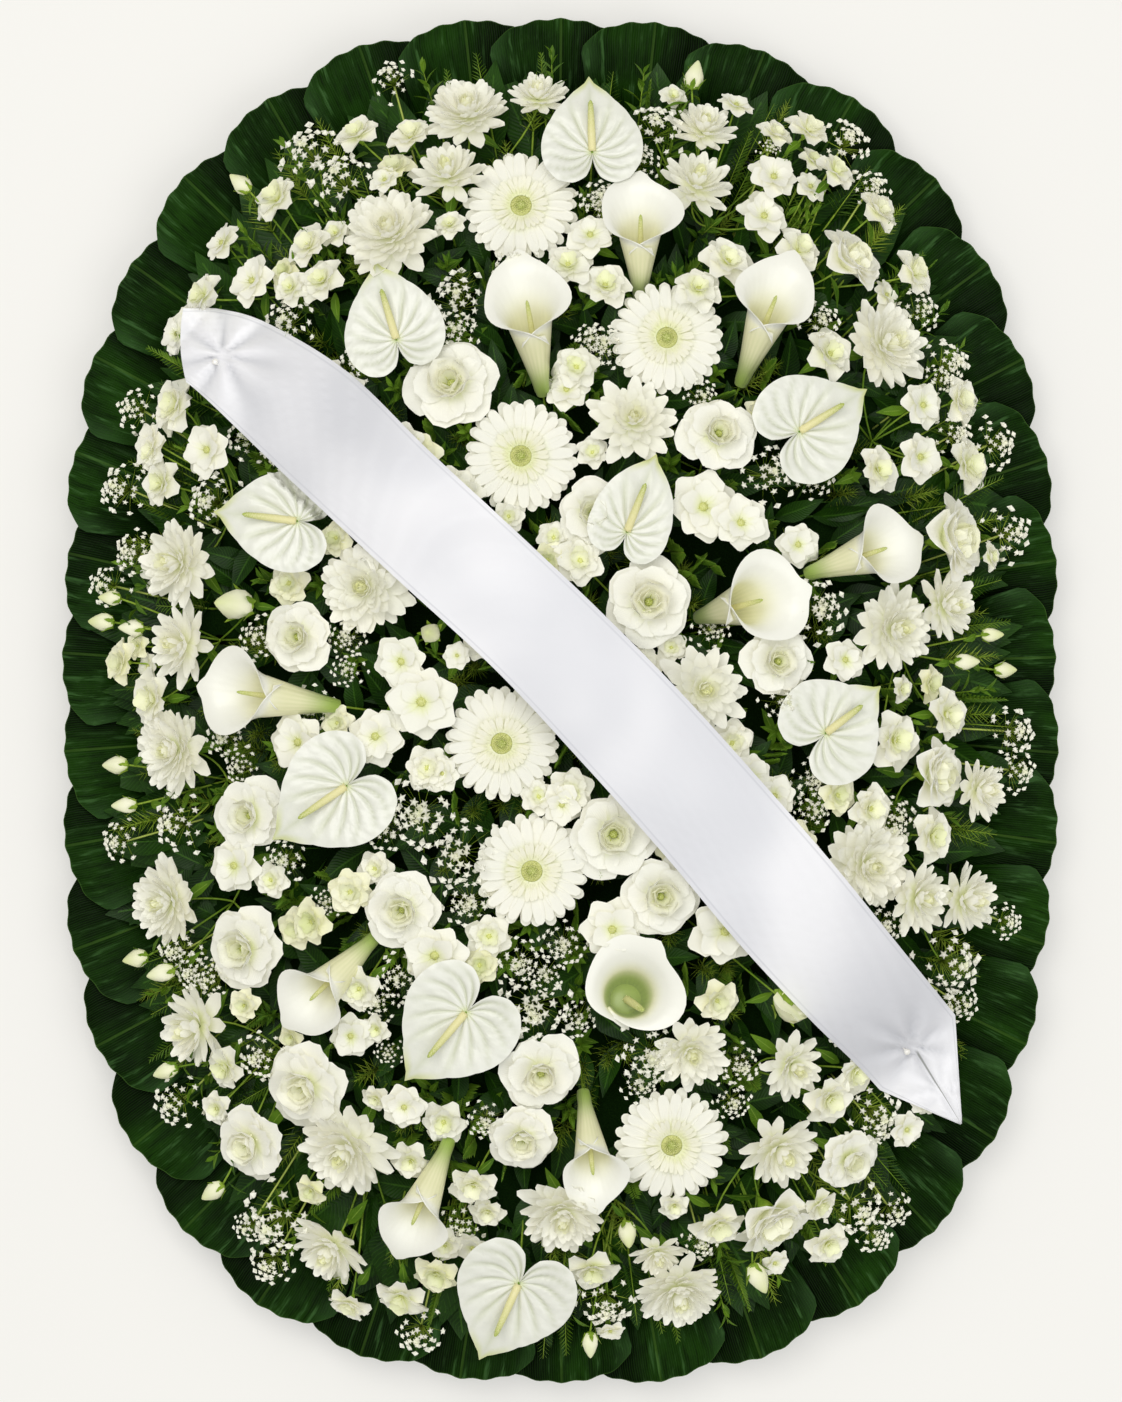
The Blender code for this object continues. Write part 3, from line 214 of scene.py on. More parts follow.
def stemFinish():
    f = Finish("youngStem", Roughness=0.5, Specular_IOR_Level=0.2)
    body = f.blend(f.noise(18.0).past(0.35, 0.65), "#6c8f24", "#92ad3a")
    f.set("Base Color", f.blend(f.noise(260.0).past(0.45, 0.75) * 0.6, body, "#4f7418"))
    f.bump(f.noise(600.0), 0.3, 0.0004)
    return f.material


def leafFinish(name, low, high, rib, roughness, veins=16.0, coat=0.03):
    f = Finish(name, Roughness=roughness, Coat_Weight=coat, Coat_Roughness=0.3, Specular_IOR_Level=0.15)
    across, along = f.petalMap()
    middle = abs(across - 0.5) * 2.0
    body = f.blend(f.noise(26.0).past(0.3, 0.7), low, high)
    side = ((along * veins - middle * 3.2) * 6.283).sine() * 0.5 + 0.5
    lines = f.blend(side.past(0.86, 1.0) * 0.3, body, rib)
    f.set("Base Color", f.blend((1 - middle).past(0.88, 0.98) * 0.8, lines, rib))
    f.bump(side * 0.6 + f.noise(500.0) * 0.4, 0.45, 0.0009)
    return f.material


def rimLeafFinish():
    f = Finish("pleatedRimLeaf", Specular_IOR_Level=0.03)
    across, along = f.petalMap()
    middle = abs(across - 0.5) * 2.0
    body = f.blend(f.noise(12.0, 5.0, 0.6).past(0.3, 0.7), "#081903", "#1b3b0a")
    fan = ((across * 2.0 - 1.0) * 40.0).cosine() * 0.5 + 0.5
    fine = ((across * 2.0 - 1.0) * 190.0 + along * 4.0).cosine() * 0.5 + 0.5
    stretch = f.node("ShaderNodeCombineXYZ", None, {0: across * 26.0, 1: along * 2.2, 2: f.noise(3.0) * 9.0})
    streak = f.noise(1.0, 3.0, 0.55, stretch)
    # painted shade in the valleys between the streaks, and a painted sheen along the streaks
    valleyShade = f.blend((1 - streak).past(0.5, 0.68) * 0.7, body, "#071702")
    light = f.blend(streak.past(0.54, 0.72) * 0.7, valleyShade, "#3e6233")
    lit = f.blend((1 - across.past(0.0, 0.16)) * along.past(0.3, 0.8) * 0.3, light, "#44683a")
    shaded = f.blend(across.past(0.5, 0.7) * along.past(0.15, 0.5) * 0.8, lit, "#030a01")  # by the next leaf
    thin = f.blend(fine.past(0.85, 1.0) * 0.3, shaded, "#2a5012")
    rib = f.blend((1 - middle).past(0.976, 0.992) * (0.7 - along * 0.5), thin, "#4d6f2a")
    edge = f.blend(along.past(0.985, 0.999) * 0.5, rib, "#4a6c2e")
    f.set("Base Color", edge)
    f.set("Roughness", f.noise(60.0).past(0.2, 0.8) * 0.16 + 0.26)
    f.bump(fan * 0.3 + fine * 0.3 + streak * 1.2 + f.noise(300.0) * 0.2, 0.6, 0.0016)
    return f.material


def ribbonFinish():
    f = Finish("coolWhiteSatin", Sheen_Weight=0.08, Sheen_Roughness=0.35, Anisotropic=0.4)
    across, along = f.petalMap()
    hem = abs(across - 0.5).past(0.452, 0.458) * (1 - abs(across - 0.5).past(0.466, 0.472))
    threads = (along * 5200.0).sine() * 0.5 + (across * 900.0).sine() * 0.5
    # broad soft bands, lighter and darker: painted sheen and shade of the satin
    soft = f.blend(f.noise(7.0, 1.0).past(0.35, 0.65), "#dcdde2", "#f1f1f4")
    # painted shade where the ribbon slopes down near each end
    slopeShade = (along.past(0.76, 0.88) * (1 - along.past(0.9, 0.935))
            + along.past(0.05, 0.09) * (1 - along.past(0.12, 0.3)) * 0.5)
    slopeShaded = f.blend(slopeShade * 0.75, soft, "#c3c4c9")
    # painted highlight: the tip brighter, the other end a little
    ends = f.blend(along.past(0.925, 0.95) + (1 - along.past(0.04, 0.08)) * 0.6, slopeShaded, "#f7f7fa")
    # painted shade in the pinch folds
    foldShaded = f.blend(f.tone() * 0.75, ends, "#b4b6bb")
    hemmed = f.blend(hem * 0.35, foldShaded, "#b9bbc2")
    middle = abs(across - 0.5)
    # painted shade in the crease of the slit near the tip
    creaseShade = (1 - middle.past(0.004, 0.02)) * along.past(0.92, 0.926)
    f.set("Base Color", f.blend(creaseShade * 0.8, hemmed, "#7d8078"))
    f.set("Roughness", f.noise(14.0).past(0.2, 0.8) * 0.12 + 0.3)
    f.bump(threads * 0.2 - hem * 0.4 + f.noise(40.0) * 0.5, 0.3, 0.0004)
    return f.material


def plainFinish(name, low, high, roughness, scale, bump, shine=0.5):
    f = Finish(name, Roughness=roughness, Specular_IOR_Level=shine)
    grain = f.noise(scale, 5.0, 0.6)
    f.set("Base Color", f.blend(grain.past(0.3, 0.7), low, high))
    f.bump(grain, 0.4, bump)
    return f.material


finishes = {
    "mum": petalFinish("mumPetal", "#e9e9e0", "#e4e6a4", 26.0, 0.5, 0.6),
    "ray": petalFinish("gerberaRay", "#e4e4da", "#e6e3b0", 44.0, 0.48, 0.3),
    "silk": petalFinish("ruffledPetal", "#e8e8df", "#e8eab6", 120.0, 0.46, 0.4),
    "small": petalFinish("smallPetal", "#e6e6db", "#e2e8a6", 40.0, 0.5, 0.4),
    "bud": petalFinish("budPetal", "#e8e8c6", "#bcc872", 60.0, 0.45, 0.3),
    "breath": petalFinish("tinyFloret", "#efefe4", "#e2e6c0", 10.0, 0.55, 0.8),
    "spathe": spatheFinish(),
    "calla": callaFinish(),
    "spadix": spadixFinish(),
    "heart": heartFinish(),
    "stem": stemFinish(),
    "fern": leafFinish("fernGreen", "#38600e", "#648a1e", "#87a640", 0.5),
    "wisp": leafFinish("wispGreen", "#7d9c2a", "#a2b844", "#b9c866", 0.5),
    "dark": leafFinish("darkFoliage", "#102a06", "#24480c", "#3f6a1e", 0.42, 18.0, 0.05),
    "rim": rimLeafFinish(),
    "ribbon": ribbonFinish(),
}
finishOrder = list(finishes)
print("materials ready")


# The oval and the dome, as in the solids
oval = {"power": 2.5, "rim": (502.0, 690.0), "foam": (396.0, 582.0), "bloom": (440.0, 635.0),
        "foamTop": 76.0, "edge": 106.0, "rise": 90.0, "inset": 0.86, "stemDepth": 28.0}
lifts = (0, 5, -5, 10, -10, 15, -15, 20, -20, 26, -26, 32, 38, 44)


def ovalShare(x, y, half=oval["bloom"]):
    p = oval["power"]
    return (abs(x / half[0]) ** p + abs(y / half[1]) ** p) ** (1 / p)


def signed(value, power):
    return copysign(abs(value) ** power, value)


def outwards(x, y, half=oval["bloom"]):
    p = oval["power"] - 1
    slope = Vector((signed(x / half[0], p) / half[0], signed(y / half[1], p) / half[1]))
    return slope.normalized() if slope.length > 1e-9 else Vector((0, 1))


def leaned(out, lean):  # an axis that leans outwards by an angle
    return Vector((out.x * sin(lean), out.y * sin(lean), cos(lean)))


def tipped(x, y, lean, more=0.0):  # how a bloom faces there; lean: in degrees, at the oval's edge
    share = min(1.1, ovalShare(x, y))
    return leaned(outwards(x, y), radians(lean) * share**1.6 + more)


def domeHeight(x, y):
    share = min(1.0, ovalShare(x, y))
    return oval["edge"] + oval["rise"] * (1 - share**2)


def foamFoot(x, y):
    share = ovalShare(x, y, oval["foam"])
    inside = min(1.0, oval["inset"] / share) if share > 0 else 1.0
    return Vector((x * inside, y * inside, oval["foamTop"]))


def rootAt(x, y):  # where a thin stalk comes out of the foam
    foot = foamFoot(x, y)
    return Vector((foot.x, foot.y, oval["foamTop"] - 4))


def sideFrame(axis, spin=0.0):
    axis = axis.normalized()
    first = Matrix.Rotation(spin, 3, axis) @ axis.orthogonal().normalized()
    return first, axis.cross(first)


def ovalPoint(half, turn):
    p = 2 / oval["power"]
    return Vector((half[0] * signed(cos(turn), p), half[1] * signed(sin(turn), p)))


def evenStations(half, count):
    dense = [ovalPoint(half, 2 * pi * k / 2400) for k in range(2401)]
    runs = [0.0]
    for before, after in zip(dense, dense[1:]):
        runs.append(runs[-1] + (after - before).length)
    stations = []
    at = 0
    for k in range(count):
        want = runs[-1] * k / count
        while runs[at + 1] < want:
            at += 1
        share = (want - runs[at]) / (runs[at + 1] - runs[at])
        point = dense[at].lerp(dense[at + 1], share)
        stations.append((point, outwards(point.x, point.y, half)))
    return stations


# Meshes as arrays, gathered into pieces
def part(points, faces, uvs, finish, tones=None):
    points = np.asarray(points, float)
    faces = np.asarray(faces, int).reshape(-1, 3)
    return {"points": points, "faces": faces, "uvs": np.asarray(uvs, float).reshape(len(faces), 3, 2),
            "tones": np.zeros(len(points)) if tones is None else np.asarray(tones, float),
            "finish": np.full(len(faces), finishOrder.index(finish))}


def joined(parts):
    starts = np.cumsum([0] + [len(p["points"]) for p in parts])
    whole = {key: np.concatenate([p[key] for p in parts]) for key in ("points", "uvs", "tones", "finish")}
    whole["faces"] = np.concatenate([p["faces"] + start for p, start in zip(parts, starts)])
    return whole


def placed(shape, axes, origin, scale=1.0):  # axes: the three directions, as Vectors
    turn = np.array([list(a) for a in axes], float)
    return {**shape, "points": (shape["points"] * scale) @ turn + np.array(list(origin), float)}


pieceFaces = {}
sharpEdge = radians(100)  # a petal's two sides meet at a clear edge


def toPiece(name, shape, replaced=()):
    used = np.unique(shape["finish"])
    slots = np.zeros(len(finishOrder), int)
    slots[used] = np.arange(len(used))
    count = len(shape["faces"])
    mesh = bpy.data.meshes.new(name)
    mesh.vertices.add(len(shape["points"]))
    mesh.vertices.foreach_set("co", (shape["points"] * mm).astype(np.float32).ravel())
    mesh.loops.add(count * 3)
    mesh.loops.foreach_set("vertex_index", shape["faces"].astype(np.int32).ravel())
    mesh.polygons.add(count)
    mesh.polygons.foreach_set("loop_start", np.arange(0, count * 3, 3, dtype=np.int32))
    mesh.polygons.foreach_set("material_index", slots[shape["finish"]].astype(np.int32))
    mesh.update(calc_edges=True)
    mesh.polygons.foreach_set("use_smooth", np.ones(count, bool))
    mesh.uv_layers.new(name="petal").data.foreach_set("uv", shape["uvs"].astype(np.float32).ravel())
    tones = mesh.attributes.new("tone", "FLOAT", "POINT")
    tones.data.foreach_set("value", shape["tones"].astype(np.float32))
    mesh.set_sharp_from_angle(angle=sharpEdge)
    for k in used:
        mesh.materials.append(finishes[finishOrder[k]])
    thing = linked(name, mesh)
    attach(thing, "root")
    if replaced:
        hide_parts(*replaced)
    pieceFaces[name] = count
    return thing


def gridFaces(first, rows, columns, flip=False):  # two triangles for each cell
    faces = []
    for r in range(rows):
        for c in range(columns):
            a, b, d, e = first[r][c], first[r][c + 1], first[r + 1][c + 1], first[r + 1][c]
            cell = [(a, e, d), (a, d, b)]
            if (r, c) in ((0, columns - 1), (rows - 1, 0)):  # so that no triangle lies in the border alone
                cell = [(a, e, b), (b, e, d)]
            faces += [corner[::-1] for corner in cell] if flip else cell
    return faces


def shell(top, thick, finish, tones=None):  # a closed leaf from a grid of points, thin at its border
    top = np.asarray(top, float)
    rows, columns = top.shape[0] - 1, top.shape[1] - 1
    along = np.gradient(top, axis=0)
    across = np.gradient(top, axis=1)
    normal = np.cross(along, across)
    normal /= np.maximum(np.linalg.norm(normal, axis=2, keepdims=True), 1e-9)
    upper = np.arange((rows + 1) * (columns + 1)).reshape(rows + 1, columns + 1)
    lower = upper.copy()
    inner = np.zeros(upper.shape, bool)
    inner[1:-1, 1:-1] = True
    lower[inner] = upper.size + np.arange(inner.sum())
    points = np.concatenate([(top + normal * thick / 2 * inner[..., None]).reshape(-1, 3),
                             (top - normal * thick / 2)[inner]])
    faces = np.array(gridFaces(upper, rows, columns) + gridFaces(lower, rows, columns, True))
    v, u = np.meshgrid(np.linspace(0, 1, rows + 1), np.linspace(0, 1, columns + 1), indexing="ij")
    flat = np.stack([u, v], axis=2)
    uvs = np.concatenate([flat.reshape(-1, 2), flat[inner]])[faces]
    if tones is not None:  # a number, or one for each point of the grid
        spread = np.broadcast_to(np.asarray(tones, float), upper.shape)
        tones = np.concatenate([spread.reshape(-1), spread[inner]])
    return part(points, faces, uvs, finish, tones)


def lathe(profile, sides, finish, twist=0.0, ridges=0, ridge=0.0, tone=None):  # profile: (height, radius)
    points = [(0, 0, profile[0][0])]
    marks = [(0.5, 0.0)]
    last = len(profile) - 1
    for k, (height, radius) in enumerate(profile):
        for s in range(sides):
            turn = 2 * pi * s / sides + twist * k
            r = radius * (1 + ridge * cos(ridges * (turn - twist * k)))
            points.append((r * cos(turn), r * sin(turn), height))
            marks.append((s / sides, k / last))
    points.append((0, 0, profile[-1][0]))
    marks.append((0.5, 1.0))
    faces = []
    for s in range(sides):
        t = (s + 1) % sides
        faces.append((0, 1 + t, 1 + s))
        for k in range(last):
            a, b = 1 + k * sides + s, 1 + k * sides + t
            faces += [(a, b, b + sides), (a, b + sides, a + sides)]
        faces.append((1 + last * sides + s, 1 + last * sides + t, len(points) - 1))
    marks = np.array(marks)
    tones = marks[:, 1] if tone is None else np.full(len(points), tone)
    return part(points, faces, marks[np.array(faces)], finish, tones)


def petalGrid(s):  # a petal along +X that faces +Z, as a grid of points
    v = np.linspace(0, 1, s["rows"] + 1)
    u = np.linspace(-1, 1, s["columns"] + 1)
    bend = np.radians(s.get("bend", 0)) * v ** s.get("late", 1.0)
    step = np.diff(v, prepend=0)
    x = np.cumsum(np.cos(bend) * step)
    z = np.cumsum(np.sin(bend) * step)
    half = np.interp(v, np.linspace(0, 1, len(s["halves"])), s["halves"])
    grid = np.zeros((len(v), len(u), 3))
    grid[..., 0] = x[:, None] - s.get("round", 0) * v[:, None] ** 4 * u[None, :] ** 2
    grid[..., 1] = half[:, None] * u[None, :]
    cup = s.get("cup", 0) * half[:, None] * u[None, :] ** 2
    ruffle = s.get("ruffle", 0) * v[:, None] ** 2 * np.sin(s.get("waves", 3) * pi * u[None, :] + 0.7)
    groove = s.get("groove", 0) * half[:, None] * np.cos(2 * pi * u[None, :])
    grid[..., 2] = z[:, None] + cup + ruffle + groove
    return grid


# Geometry Nodes: one tree sets petals, florets and leaflets round an axis, one draws stalks
def groupSockets(made, kinds):  # a group's named inputs, and its one output
    for name, kind in kinds.items():
        made.tree.interface.new_socket(name, in_out="INPUT", socket_type="NodeSocket" + kind)
    made.tree.interface.new_socket("Geometry", in_out="OUTPUT", socket_type="NodeSocketGeometry")
    given = made.node("NodeGroupInput").socket.node
    return {name: Tap(made, given.outputs[name]) for name in kinds}


def whorlTree():
    tree = bpy.data.node_groups.new("setRoundAnAxis", "GeometryNodeTree")
    made = Bench(tree)
    taken = groupSockets(made, {
        "Petal": "Object", "Finish": "Material", "Count": "Int", "Turn": "Float",
        **{f"{end} {name}": "Float" for name in ("Tilt", "Size", "Hub") for end in ("Outer", "Inner")},
        "Rise": "Float", "Curve": "Float", "Loose": "Float", "Seed": "Int"})
    index = made.node("GeometryNodeInputIndex")

    def chance(extra):  # -1 to 1 for each petal
        return made.node("FunctionNodeRandomValue", {"data_type": "FLOAT"},
                         {2: -1.0, 3: 1.0, "Seed": taken["Seed"] + extra}, 1)

    share = (index / (taken["Count"] - 1.0).sum("MAXIMUM", taken["Count"] - 1.0, 1.0)) ** taken["Curve"]

    def between(name):
        low, high = taken["Outer " + name], taken["Inner " + name]
        return low + (high - low) * share

    turn = index * taken["Turn"] + chance(1) * taken["Loose"] * 0.6
    tilt = between("Tilt") + chance(2) * taken["Loose"]
    hub = between("Hub")
    place = made.node("ShaderNodeCombineXYZ", None, {0: hub * turn.cosine(), 1: hub * turn.sine(),
                                                     2: taken["Rise"] * share})
    way = made.node("ShaderNodeCombineXYZ", None, {0: chance(3) * taken["Loose"] * 0.8, 1: -tilt, 2: turn})
    points = made.node("GeometryNodePoints", None, {"Count": taken["Count"], "Position": place})
    petal = made.node("GeometryNodeObjectInfo", None, {"Object": taken["Petal"]}, "Geometry")
    size = between("Size") * (1.0 + chance(4) * taken["Loose"] * 0.7)
    copies = made.node("GeometryNodeInstanceOnPoints", None,
                       {"Points": points, "Instance": petal, "Rotation": way, "Scale": size})
    marked = made.node("GeometryNodeStoreNamedAttribute", {"data_type": "FLOAT", "domain": "INSTANCE"},
                       {"Geometry": copies, "Name": "tone", "Value": share})
    real = made.node("GeometryNodeRealizeInstances", None, {"Geometry": marked})
    painted = made.node("GeometryNodeSetMaterial", None, {"Geometry": real, "Material": taken["Finish"]})
    made.node("NodeGroupOutput", None, {"Geometry": painted})
    return tree


def stalkTree():
    tree = bpy.data.node_groups.new("drawStalks", "GeometryNodeTree")
    made = Bench(tree)
    taken = groupSockets(made, {"Geometry": "Geometry", "Sides": "Int", "Finish": "Material"})
    lines = made.node("GeometryNodeMeshToCurve", None, {0: taken["Geometry"]})
    thick = made.node("GeometryNodeInputNamedAttribute", {"data_type": "FLOAT"}, {"Name": "thick"})
    sized = made.node("GeometryNodeSetCurveRadius", None, {"Curve": lines, "Radius": thick})
    outline = made.node("GeometryNodeCurvePrimitiveCircle", None,
                        {"Resolution": taken["Sides"], "Radius": 1.0})
    tubes = made.node("GeometryNodeCurveToMesh", None,
                      {"Curve": sized, "Profile Curve": outline, "Fill Caps": True})
    real = made.node("GeometryNodeRealizeInstances", None, {"Geometry": tubes})
    painted = made.node("GeometryNodeSetMaterial", None, {"Geometry": real, "Material": taken["Finish"]})
    made.node("NodeGroupOutput", None, {"Geometry": painted})
    return tree


whorls = whorlTree()
stalks = stalkTree()


def plainMesh(host, tree, inputs):  # runs a tree on an object and keeps the result as a mesh
    modifier = host.modifiers.new("grow", "NODES")
    modifier.node_group = tree
    for item in tree.interface.items_tree:
        if item.in_out == "INPUT" and item.name in inputs:
            modifier[item.identifier] = inputs[item.name]
    bpy.context.scene.collection.objects.link(host)
    bpy.context.view_layer.update()
    graph = bpy.context.evaluated_depsgraph_get()
    mesh = bpy.data.meshes.new_from_object(host.evaluated_get(graph))
    host.modifiers.remove(modifier)
    bpy.data.objects.remove(host)
    return mesh


def column(items, key, kind, width):  # what every item of a mesh's list holds, one row for each
    flat = np.zeros(len(items) * width, kind)
    items.foreach_get(key, flat)
    return flat.reshape(-1, width)


def readMesh(mesh, finish):  # a mesh as arrays
    mesh.calc_loop_triangles()
    points = column(mesh.vertices, "co", np.float32, 3)
    faces = column(mesh.loop_triangles, "vertices", np.int32, 3)
    corners = column(mesh.loop_triangles, "loops", np.int32, 3).ravel()
    uvs = np.full((len(corners), 2), 0.5)
    if "petal" in mesh.uv_layers:
        uvs = column(mesh.uv_layers["petal"].data, "uv", np.float32, 2)[corners]
    tones = None
    if "tone" in mesh.attributes:
        tones = column(mesh.attributes["tone"].data, "value", np.float32, 1)[:, 0]
    bpy.data.meshes.remove(mesh)
    return part(points, faces, uvs, finish, tones)


def helperMesh(name, shape):
    mesh = bpy.data.meshes.new(name)
    mesh.from_pydata(shape["points"].tolist(), [], shape["faces"].tolist())
    mesh.uv_layers.new(name="petal").data.foreach_set("uv", shape["uvs"].astype(np.float32).ravel())
    return linked(name, mesh)


def whorl(petal, finish, count, seed, tilt, size, hub=0.0, turn=None, rise=0.0, curve=1.0, loose=0.0,
          tone=None):  # a pair goes from the outer petals to the inner ones
    host = bpy.data.objects.new("whorl", bpy.data.meshes.new("whorl"))
    helper = helperMesh("petal", shells[petal] if isinstance(petal, str) else petal)
    inputs = {"Petal": helper, "Finish": finishes[finish], "Count": count, "Seed": seed, "Rise": rise,
              "Turn": ringTurn / count if turn is None else turn, "Curve": curve, "Loose": loose}
    for name, given in (("Tilt", tilt), ("Size", size), ("Hub", hub)):
        pair = given if isinstance(given, tuple) else (given, given)
        for end, value in zip(("Outer ", "Inner "), pair):
            inputs[end + name] = radians(value) if name == "Tilt" else float(value)
    mesh = plainMesh(host, whorls, inputs)
    bpy.data.objects.remove(helper)
    shape = readMesh(mesh, finish)
    if tone is not None:
        shape["tones"][:] = tone
    return shape


def stalkPart(paths, finish="stem", sides=5):  # paths: lists of (point, radius)
    points, edges, thick = [], [], []
    for path in paths:
        first = len(points)
        points += [tuple(p) for p, _ in path]
        thick += [r for _, r in path]
        edges += [(first + k, first + k + 1) for k in range(len(path) - 1)]
    mesh = bpy.data.meshes.new("stalks")
    mesh.from_pydata(points, edges, [])
    mesh.attributes.new("thick", "FLOAT", "POINT").data.foreach_set("value", thick)
    host = bpy.data.objects.new("stalks", mesh)
    return readMesh(plainMesh(host, stalks, {"Sides": sides, "Finish": finishes[finish]}), finish)


def curveThrough(start, middle, end, share):  # it passes the middle at half its way
    control = middle * 2 - (start + end) / 2
    return start * (1 - share) ** 2 + control * 2 * share * (1 - share) + end * share**2


def bent(start, middle, end, radii, count=7):  # a smooth stalk through three points
    shares = [k / (count - 1) for k in range(count)]
    return [(curveThrough(start, middle, end, t), radii[0] + (radii[1] - radii[0]) * t) for t in shares]


def rooted(path, foot, radius):  # the same stalk, with its end in the foam
    return path + [(foot - up * (oval["stemDepth"] - 2), radius)]


def risen(heart, axis, back, end, radii, count):  # a thin stalk that comes up from the foam behind a bloom
    root = rootAt(heart.x - axis.x * back, heart.y - axis.y * back)
    return bent(root, Vector((root.x, root.y, 90)).lerp(heart, 0.5), end, radii, count)


# One head of each kind, a unit wide from its heart, facing +Z
golden = radians(137.508)
ringTurn = 2 * pi
petals = {
    "ray": {"rows": 5, "columns": 4, "halves": (0.03, 0.1, 0.135, 0.14, 0.105), "round": 0.07,
            "groove": 0.12, "cup": 0.12, "bend": -10},
    "mum": {"rows": 4, "columns": 2, "halves": (0.06, 0.13, 0.175, 0.165, 0.08), "round": 0.05, "cup": 0.3,
            "bend": 26, "late": 2},
    "silk": {"rows": 5, "columns": 6, "halves": (0.14, 0.36, 0.5, 0.54, 0.44), "round": 0.2, "cup": 0.3,
             "ruffle": 0.055, "waves": 3, "bend": -14, "late": 2},
    "silkInner": {"rows": 4, "columns": 5, "halves": (0.16, 0.38, 0.5, 0.52, 0.4), "round": 0.16, "cup": 0.7,
                  "ruffle": 0.05, "waves": 2.5, "bend": 18},
    "rose": {"rows": 5, "columns": 5, "halves": (0.2, 0.44, 0.56, 0.56, 0.34), "round": 0.2, "cup": 0.6,
             "ruffle": 0.02, "bend": -32, "late": 3},
    "star": {"rows": 4, "columns": 4, "halves": (0.12, 0.3, 0.42, 0.42, 0.22), "round": 0.14, "cup": 0.35,
             "ruffle": 0.03, "bend": -16, "late": 2},
    "puff": {"rows": 3, "columns": 4, "halves": (0.14, 0.36, 0.46, 0.3), "round": 0.2, "cup": 0.4,
             "ruffle": 0.06, "waves": 2, "bend": -8},
    "leaf": {"rows": 4, "columns": 2, "halves": (0.03, 0.15, 0.17, 0.1, 0.01), "cup": 0.35, "bend": -22},
    "thread": {"rows": 2, "columns": 2, "halves": (0.02, 0.035, 0.01), "bend": 12},
}
shells = {name: shell(petalGrid(s), 0.02, "mum") for name, s in petals.items()}
grain = lathe(((0.0, 0.5), (0.35, 0.5), (0.7, 0.28)), 5, "heart")
calyx = lathe(((-0.42, 0.05), (-0.34, 0.07), (-0.18, 0.17), (-0.03, 0.2)), 9, "stem")


def upright(shape):  # a lathe shape laid along +X, for the whorl tree
    return placed(shape, (Vector((0, 0, -1)), Vector((0, 1, 0)), Vector((1, 0, 0))), (0, 0, 0))


def mumHead(seed, count, size, loose):
    return joined([calyx, whorl("mum", "mum", count, seed, (-8, 84), size, (0.08, 0.02), golden, rise=0.16,
                                curve=1.15, loose=loose)])


def gerberaHead(seed):
    disc = lathe(((-0.08, 0.1), (-0.06, 0.23), (-0.02, 0.23), (0.0, 0.1)), 16, "heart", tone=0.4)
    return joined([
        calyx, disc,
        whorl("ray", "ray", 25, seed, tilt=-2, size=0.83, hub=0.19, loose=0.05, tone=0.0),
        whorl("ray", "ray", 25, seed + 9, tilt=7, size=0.75, hub=0.19, turn=ringTurn / 25 * 1.037, loose=0.06,
              tone=0.15),
        whorl("ray", "ray", 30, seed + 5, tilt=(22, 28), size=(0.34, 0.3), hub=(0.21, 0.2), rise=0.02,
              loose=0.1, tone=0.6),
        whorl("thread", "bud", 110, seed + 3, (18, 60), (0.16, 0.09), (0.3, 0.22), golden, rise=0.03,
              loose=0.12, tone=0.2),
        whorl(upright(grain), "heart", 130, seed + 4, (70, 90), (0.034, 0.024), (0.19, 0.0), golden,
              rise=0.03, curve=0.55, loose=0.1),
    ])


def silkHead(seed, layers, middle):
    made = [calyx]
    for k, (petal, count, tilt, size, hub) in enumerate(layers):
        made.append(whorl(petal, "silk", count, seed + 11 * k, (tilt, tilt + 5), (size, size * 0.94), hub,
                          ringTurn / count * 1.03, rise=0.02 + 0.02 * k, loose=0.13, tone=0.1 + 0.2 * k))
    if middle:
        made += [
            lathe(((0.0, 0.09), (0.16, 0.1), (0.27, 0.05)), 7, "heart", tone=0.9),
            whorl("thread", "heart", 9, seed + 2, (52, 66), (0.34, 0.3), 0.06, rise=0.05, loose=0.2),
            whorl(upright(grain), "bud", 9, seed + 2, (58, 62), 0.06, (0.24, 0.22), rise=0.33, loose=0.12),
        ]
    return joined(made)


# Each layer: petal, how many, tilt, size, distance from the middle
lisianthusLayers = (("silk", 6, 6, 0.98, 0.06), ("silk", 6, 24, 0.88, 0.06), ("silkInner", 5, 42, 0.74, 0.06),
                    ("silkInner", 5, 60, 0.56, 0.08))
roseLayers = (("rose", 5, 22, 1.0, 0.1), ("rose", 5, 40, 0.98, 0.1), ("rose", 5, 56, 0.9, 0.1),
              ("silkInner", 5, 72, 0.78, 0.12), ("silkInner", 4, 82, 0.66, 0.08))


def starHead(seed, outer, inner, petal="star"):
    made = [
        calyx,
        whorl(petal, "small", outer, seed, (4, 10), (1.0, 0.92), 0.04, loose=0.14, tone=0.1),
        whorl(petal, "small", inner, seed + 3, (28, 36), (0.86, 0.74), 0.04, ringTurn / inner * 1.09,
              rise=0.02, loose=0.16, tone=0.45),
    ]
    if petal == "puff":
        made.append(whorl(petal, "small", 5, seed + 7, (54, 62), (0.66, 0.58), 0.03, ringTurn / 5 * 1.04,
                          rise=0.06, loose=0.18, tone=0.8))
    made += [
        lathe(((0.02, 0.1), (0.12, 0.13), (0.2, 0.07)), 7, "heart", tone=0.4),
        whorl("thread", "heart", 10, seed + 5, (50, 70), (0.3, 0.24), (0.05, 0.03), golden, rise=0.08,
              loose=0.2),
    ]
    return joined(made)


def budHead():
    rings = ((0.0, 0.3), (0.25, 0.72), (0.9, 1.0), (1.5, 0.96), (2.2, 0.66), (2.8, 0.3), (3.05, 0.08))
    body = lathe(rings, 12, "bud", twist=0.16, ridges=4, ridge=0.1)
    sepals = whorl("leaf", "stem", 5, 3, (74, 78), (1.6, 1.5), (0.78, 0.74), rise=0.1, loose=0.1)
    foot = lathe(((-0.1, 0.2), (0.1, 0.62), (0.35, 0.8), (0.5, 0.72)), 9, "stem")
    return joined([body, sepals, foot])


